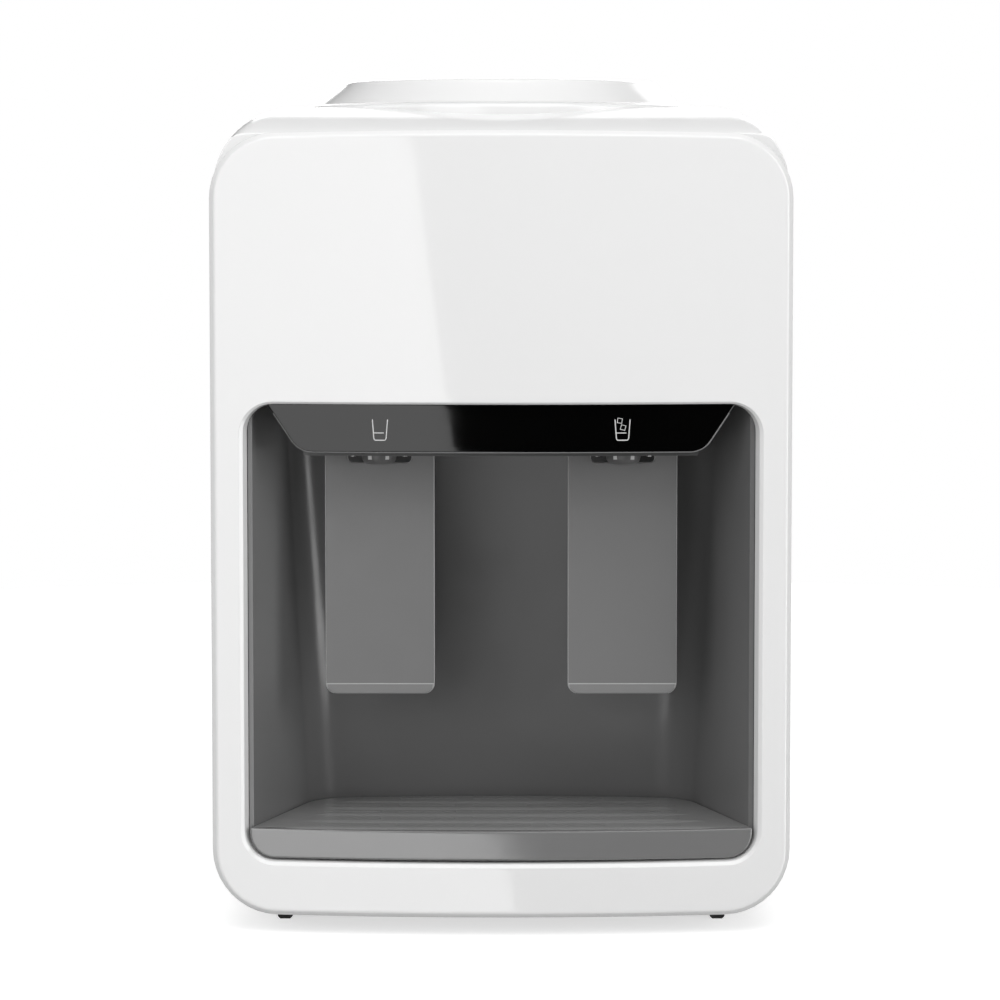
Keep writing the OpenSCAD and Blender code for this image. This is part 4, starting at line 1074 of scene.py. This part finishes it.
def make_tray_basin(materials):
    """Basin under the grille, with a rounded floor and rim."""
    rim, floor = GRILLE_LOW[2] - 0.1, TRAY_Z0 + 2
    levels = [
        (5.0, TRAY_Z0 + 0.1, 6.4), (3.0, TRAY_Z0 + 0.5, 6.2), (1.2, TRAY_Z0 + 2.0, 6.0),
        (0.3, TRAY_Z0 + 5.0, 5.9), (0.0, rim - 0.4, 5.9), (0.3, rim, 6.0), (1.7, rim, 7.4),
        (2.0, rim - 0.4, 7.8), (2.4, floor + 3.0, 8.2), (3.6, floor + 0.9, 9.2), (6.0, floor, 11.0),
    ]
    loops = [level_at(tray_outline(inset, depth), z) for inset, z, depth in levels]
    basin = to_object("drip_tray_basin", *loft(loops, cap_start=True, cap_end=True))
    place(basin, "tray", "tray_grey", material=materials["grille_grey"])


def grille_slots(top, low):
    """Narrow rounded drain slots in the valleys between the ribs."""
    half, slots = 15, []
    ends = arc(half - 1, 0, 1, -90, 90, 6) + arc(1 - half, 0, 1, 90, 270, 6)
    for row in range(5):
        y = FRONT_Y + 21 + RIB_PITCH * row
        columns = range(-1, 2) if row == 4 else range(-2, 3)
        for x in (38 * column for column in columns):
            slots.append(prism([(x + a, y + b) for a, b in ends], low - 2, top + 2, "z"))
    return merge(slots)


def make_grille(materials):
    """Flat grille with low soft ribs across it and narrow drain slots between them."""
    top, low = GRILLE_Z, GRILLE_LOW[2]
    edge = (0.5, low), (0.0, low + 0.5), (0.0, top - 0.7), (0.15, top - 0.3), (0.5, top - 0.05), (0.9, top)
    loops = [level_at(tray_outline(inset + 0.35, 6.2 + inset), z) for inset, z in edge]
    grille = to_object("drip_grille_plate", *loft(loops, cap_start=True, cap_end=True))
    cut(grille, [to_object("slots", *grille_slots(top, low))])
    place(grille, "grille", "grille_grey", "drip_grille", material=materials["grille_grey"])
    ribs = []
    for row in range(5):
        depth = 12 + RIB_PITCH * row
        ribs.append(rib(BAY_DEPTH - BAY_DRAW * depth, FRONT_Y + depth, top))
    ribs = to_object("drip_grille_ribs", *merge(ribs))
    place(ribs, "grille", "grille_grey", material=materials["grille_grey"])


def rib(reach, y, top, steps=24):
    """Low rounded rib across the grille, following its bow and fading out at both ends."""
    turns = [math.radians(a) for a in range(-30, 211, 24)]
    loops = []
    for i in range(steps + 1):
        t = -1 + 2 * i / steps
        x = reach * t
        fade = math.sqrt(max(1 - abs(t) ** 12, 0.0001))
        lift = RIB_LIFT * fade + RIB_SINK
        wide = RIB_HALF * (0.5 + 0.5 * fade)
        mid = y + 0.45 * bow(x)
        loops.append(
            [(x, mid + wide * math.cos(a), top - RIB_SINK + lift * max(math.sin(a), -0.2)) for a in turns]
        )
    return loft(loops, cap_start=True, cap_end=True)


# ---- Stage ----


def make_floor():
    """Pale floor that the glossy mouldings don't mirror, white right out to its edge."""
    mesh = bpy.data.meshes.new("floor")
    ring = circle(1.4, 0, 96)
    mesh.from_pydata(ring, [], [tuple(range(len(ring)))])
    floor = bpy.data.objects.new("floor", mesh)
    bpy.context.scene.collection.objects.link(floor)
    material = new_material("floor_white", (0.6, 0.6, 0.6), 0.9)
    shader = material.node_tree.nodes["Principled BSDF"]
    shader.inputs["Specular IOR Level"].default_value = 0.0
    shader.inputs["Emission Color"].default_value = (1, 1, 1, 1)
    tree = material.node_tree
    path = tree.nodes.new("ShaderNodeLightPath")
    glow = tree.nodes.new("ShaderNodeMapRange")
    glow.inputs["To Min"].default_value = 0.05
    glow.inputs["To Max"].default_value = 0.62
    tree.links.new(path.outputs["Is Camera Ray"], glow.inputs["Value"])
    tree.links.new(glow.outputs["Result"], shader.inputs["Emission Strength"])
    mesh.materials.append(material)
    floor.visible_glossy = False


def area_light(name, location, target, size, power, tilt=0.0):
    """Rectangular soft light aimed at a point; size is (width, height) in metres."""
    data = bpy.data.lights.new(name, "AREA")
    data.shape = "RECTANGLE"
    data.size, data.size_y = size
    data.energy = power
    light = bpy.data.objects.new(name, data)
    aim = (Vector(target) - Vector(location)).to_track_quat("-Z", "Y").to_matrix()
    turned = aim @ Matrix.Rotation(math.radians(tilt), 3, "Z")
    light.matrix_world = Matrix.Translation(location) @ turned.to_4x4()
    bpy.context.scene.collection.objects.link(light)
    light.visible_camera = False
    return light


def make_lights():
    """A slanted softbox on the front left, broad top and side lights, and a matt front fill."""
    area_light("softbox_left", (-1.199, -2.15, 0.65), (-1.199, 0, 0.65), (1.5, 3.1), 32, tilt=22.3)
    area_light("top_light", (0, -1.0, 2.2), (0, 0, 0.2), (2.4, 2.4), 42)
    area_light("right_fill", (2.2, -1.2, 0.1), (0, 0, 0.1), (1.2, 3.2), 48)
    area_light("left_fill", (-2.2, -0.3, 1.6), (0, 0, 0.35), (1.6, 1.4), 11)
    area_light("back_fill", (0.4, 2.4, 1.2), (0, 0, 0.2), (2.0, 1.6), 20)
    front = area_light("front_fill", (0.6, -2.6, 0.9), (0, 0, 0.2), (2.0, 1.6), 3.5)
    front.visible_glossy = False


def make_world():
    """White surroundings for the camera, a little light for matt faces, and dark for reflections."""
    world = bpy.data.worlds.new("studio")
    bpy.context.scene.world = world
    world.use_nodes = True
    tree = world.node_tree
    tree.nodes.clear()
    path = tree.nodes.new("ShaderNodeLightPath")
    out = tree.nodes.new("ShaderNodeOutputWorld")
    surface = None
    for ray, strength in (("Is Diffuse Ray", 0.15), ("Is Camera Ray", 1.0)):
        light = tree.nodes.new("ShaderNodeBackground")
        light.inputs["Color"].default_value = (1, 1, 1, 1)
        light.inputs["Strength"].default_value = strength
        blend = tree.nodes.new("ShaderNodeMixShader")
        tree.links.new(path.outputs[ray], blend.inputs[0])
        if surface:
            tree.links.new(surface, blend.inputs[1])
        tree.links.new(light.outputs[0], blend.inputs[2])
        surface = blend.outputs[0]
    tree.links.new(surface, out.inputs["Surface"])


def make_camera():
    """Long lens in front of the cabinet, a little below its top and turned down by 4 degrees."""
    data = bpy.data.cameras.new("camera")
    data.sensor_width = 36
    data.lens = CAMERA_LENS
    data.shift_y = CAMERA_SHIFT
    data.dof.use_dof = False
    camera = bpy.data.objects.new("camera", data)
    camera.location = CAMERA_AT
    camera.rotation_euler = (math.radians(90 - CAMERA_DOWN), 0, 0)
    bpy.context.scene.collection.objects.link(camera)
    bpy.context.scene.camera = camera


def build():
    """Everything in order."""
    bpy.context.scene.view_settings.view_transform = "Standard"
    make_camera()
    make_world()
    make_lights()
    make_floor()
    materials = make_materials()
    dress_frame(materials)
    make_front_panel(materials)
    make_body_shell(materials)
    make_base_tub(materials)
    make_collar(materials)
    make_liner(materials)
    make_header(materials)
    make_icons(materials)
    for side, word in ((-1, "left"), (1, "right")):
        make_paddle(f"paddle_{word}", side, materials)
        make_nozzle(f"nozzle_{word}", side, materials)
    make_tray_front(materials)
    make_tray_basin(materials)
    make_grille(materials)


build()
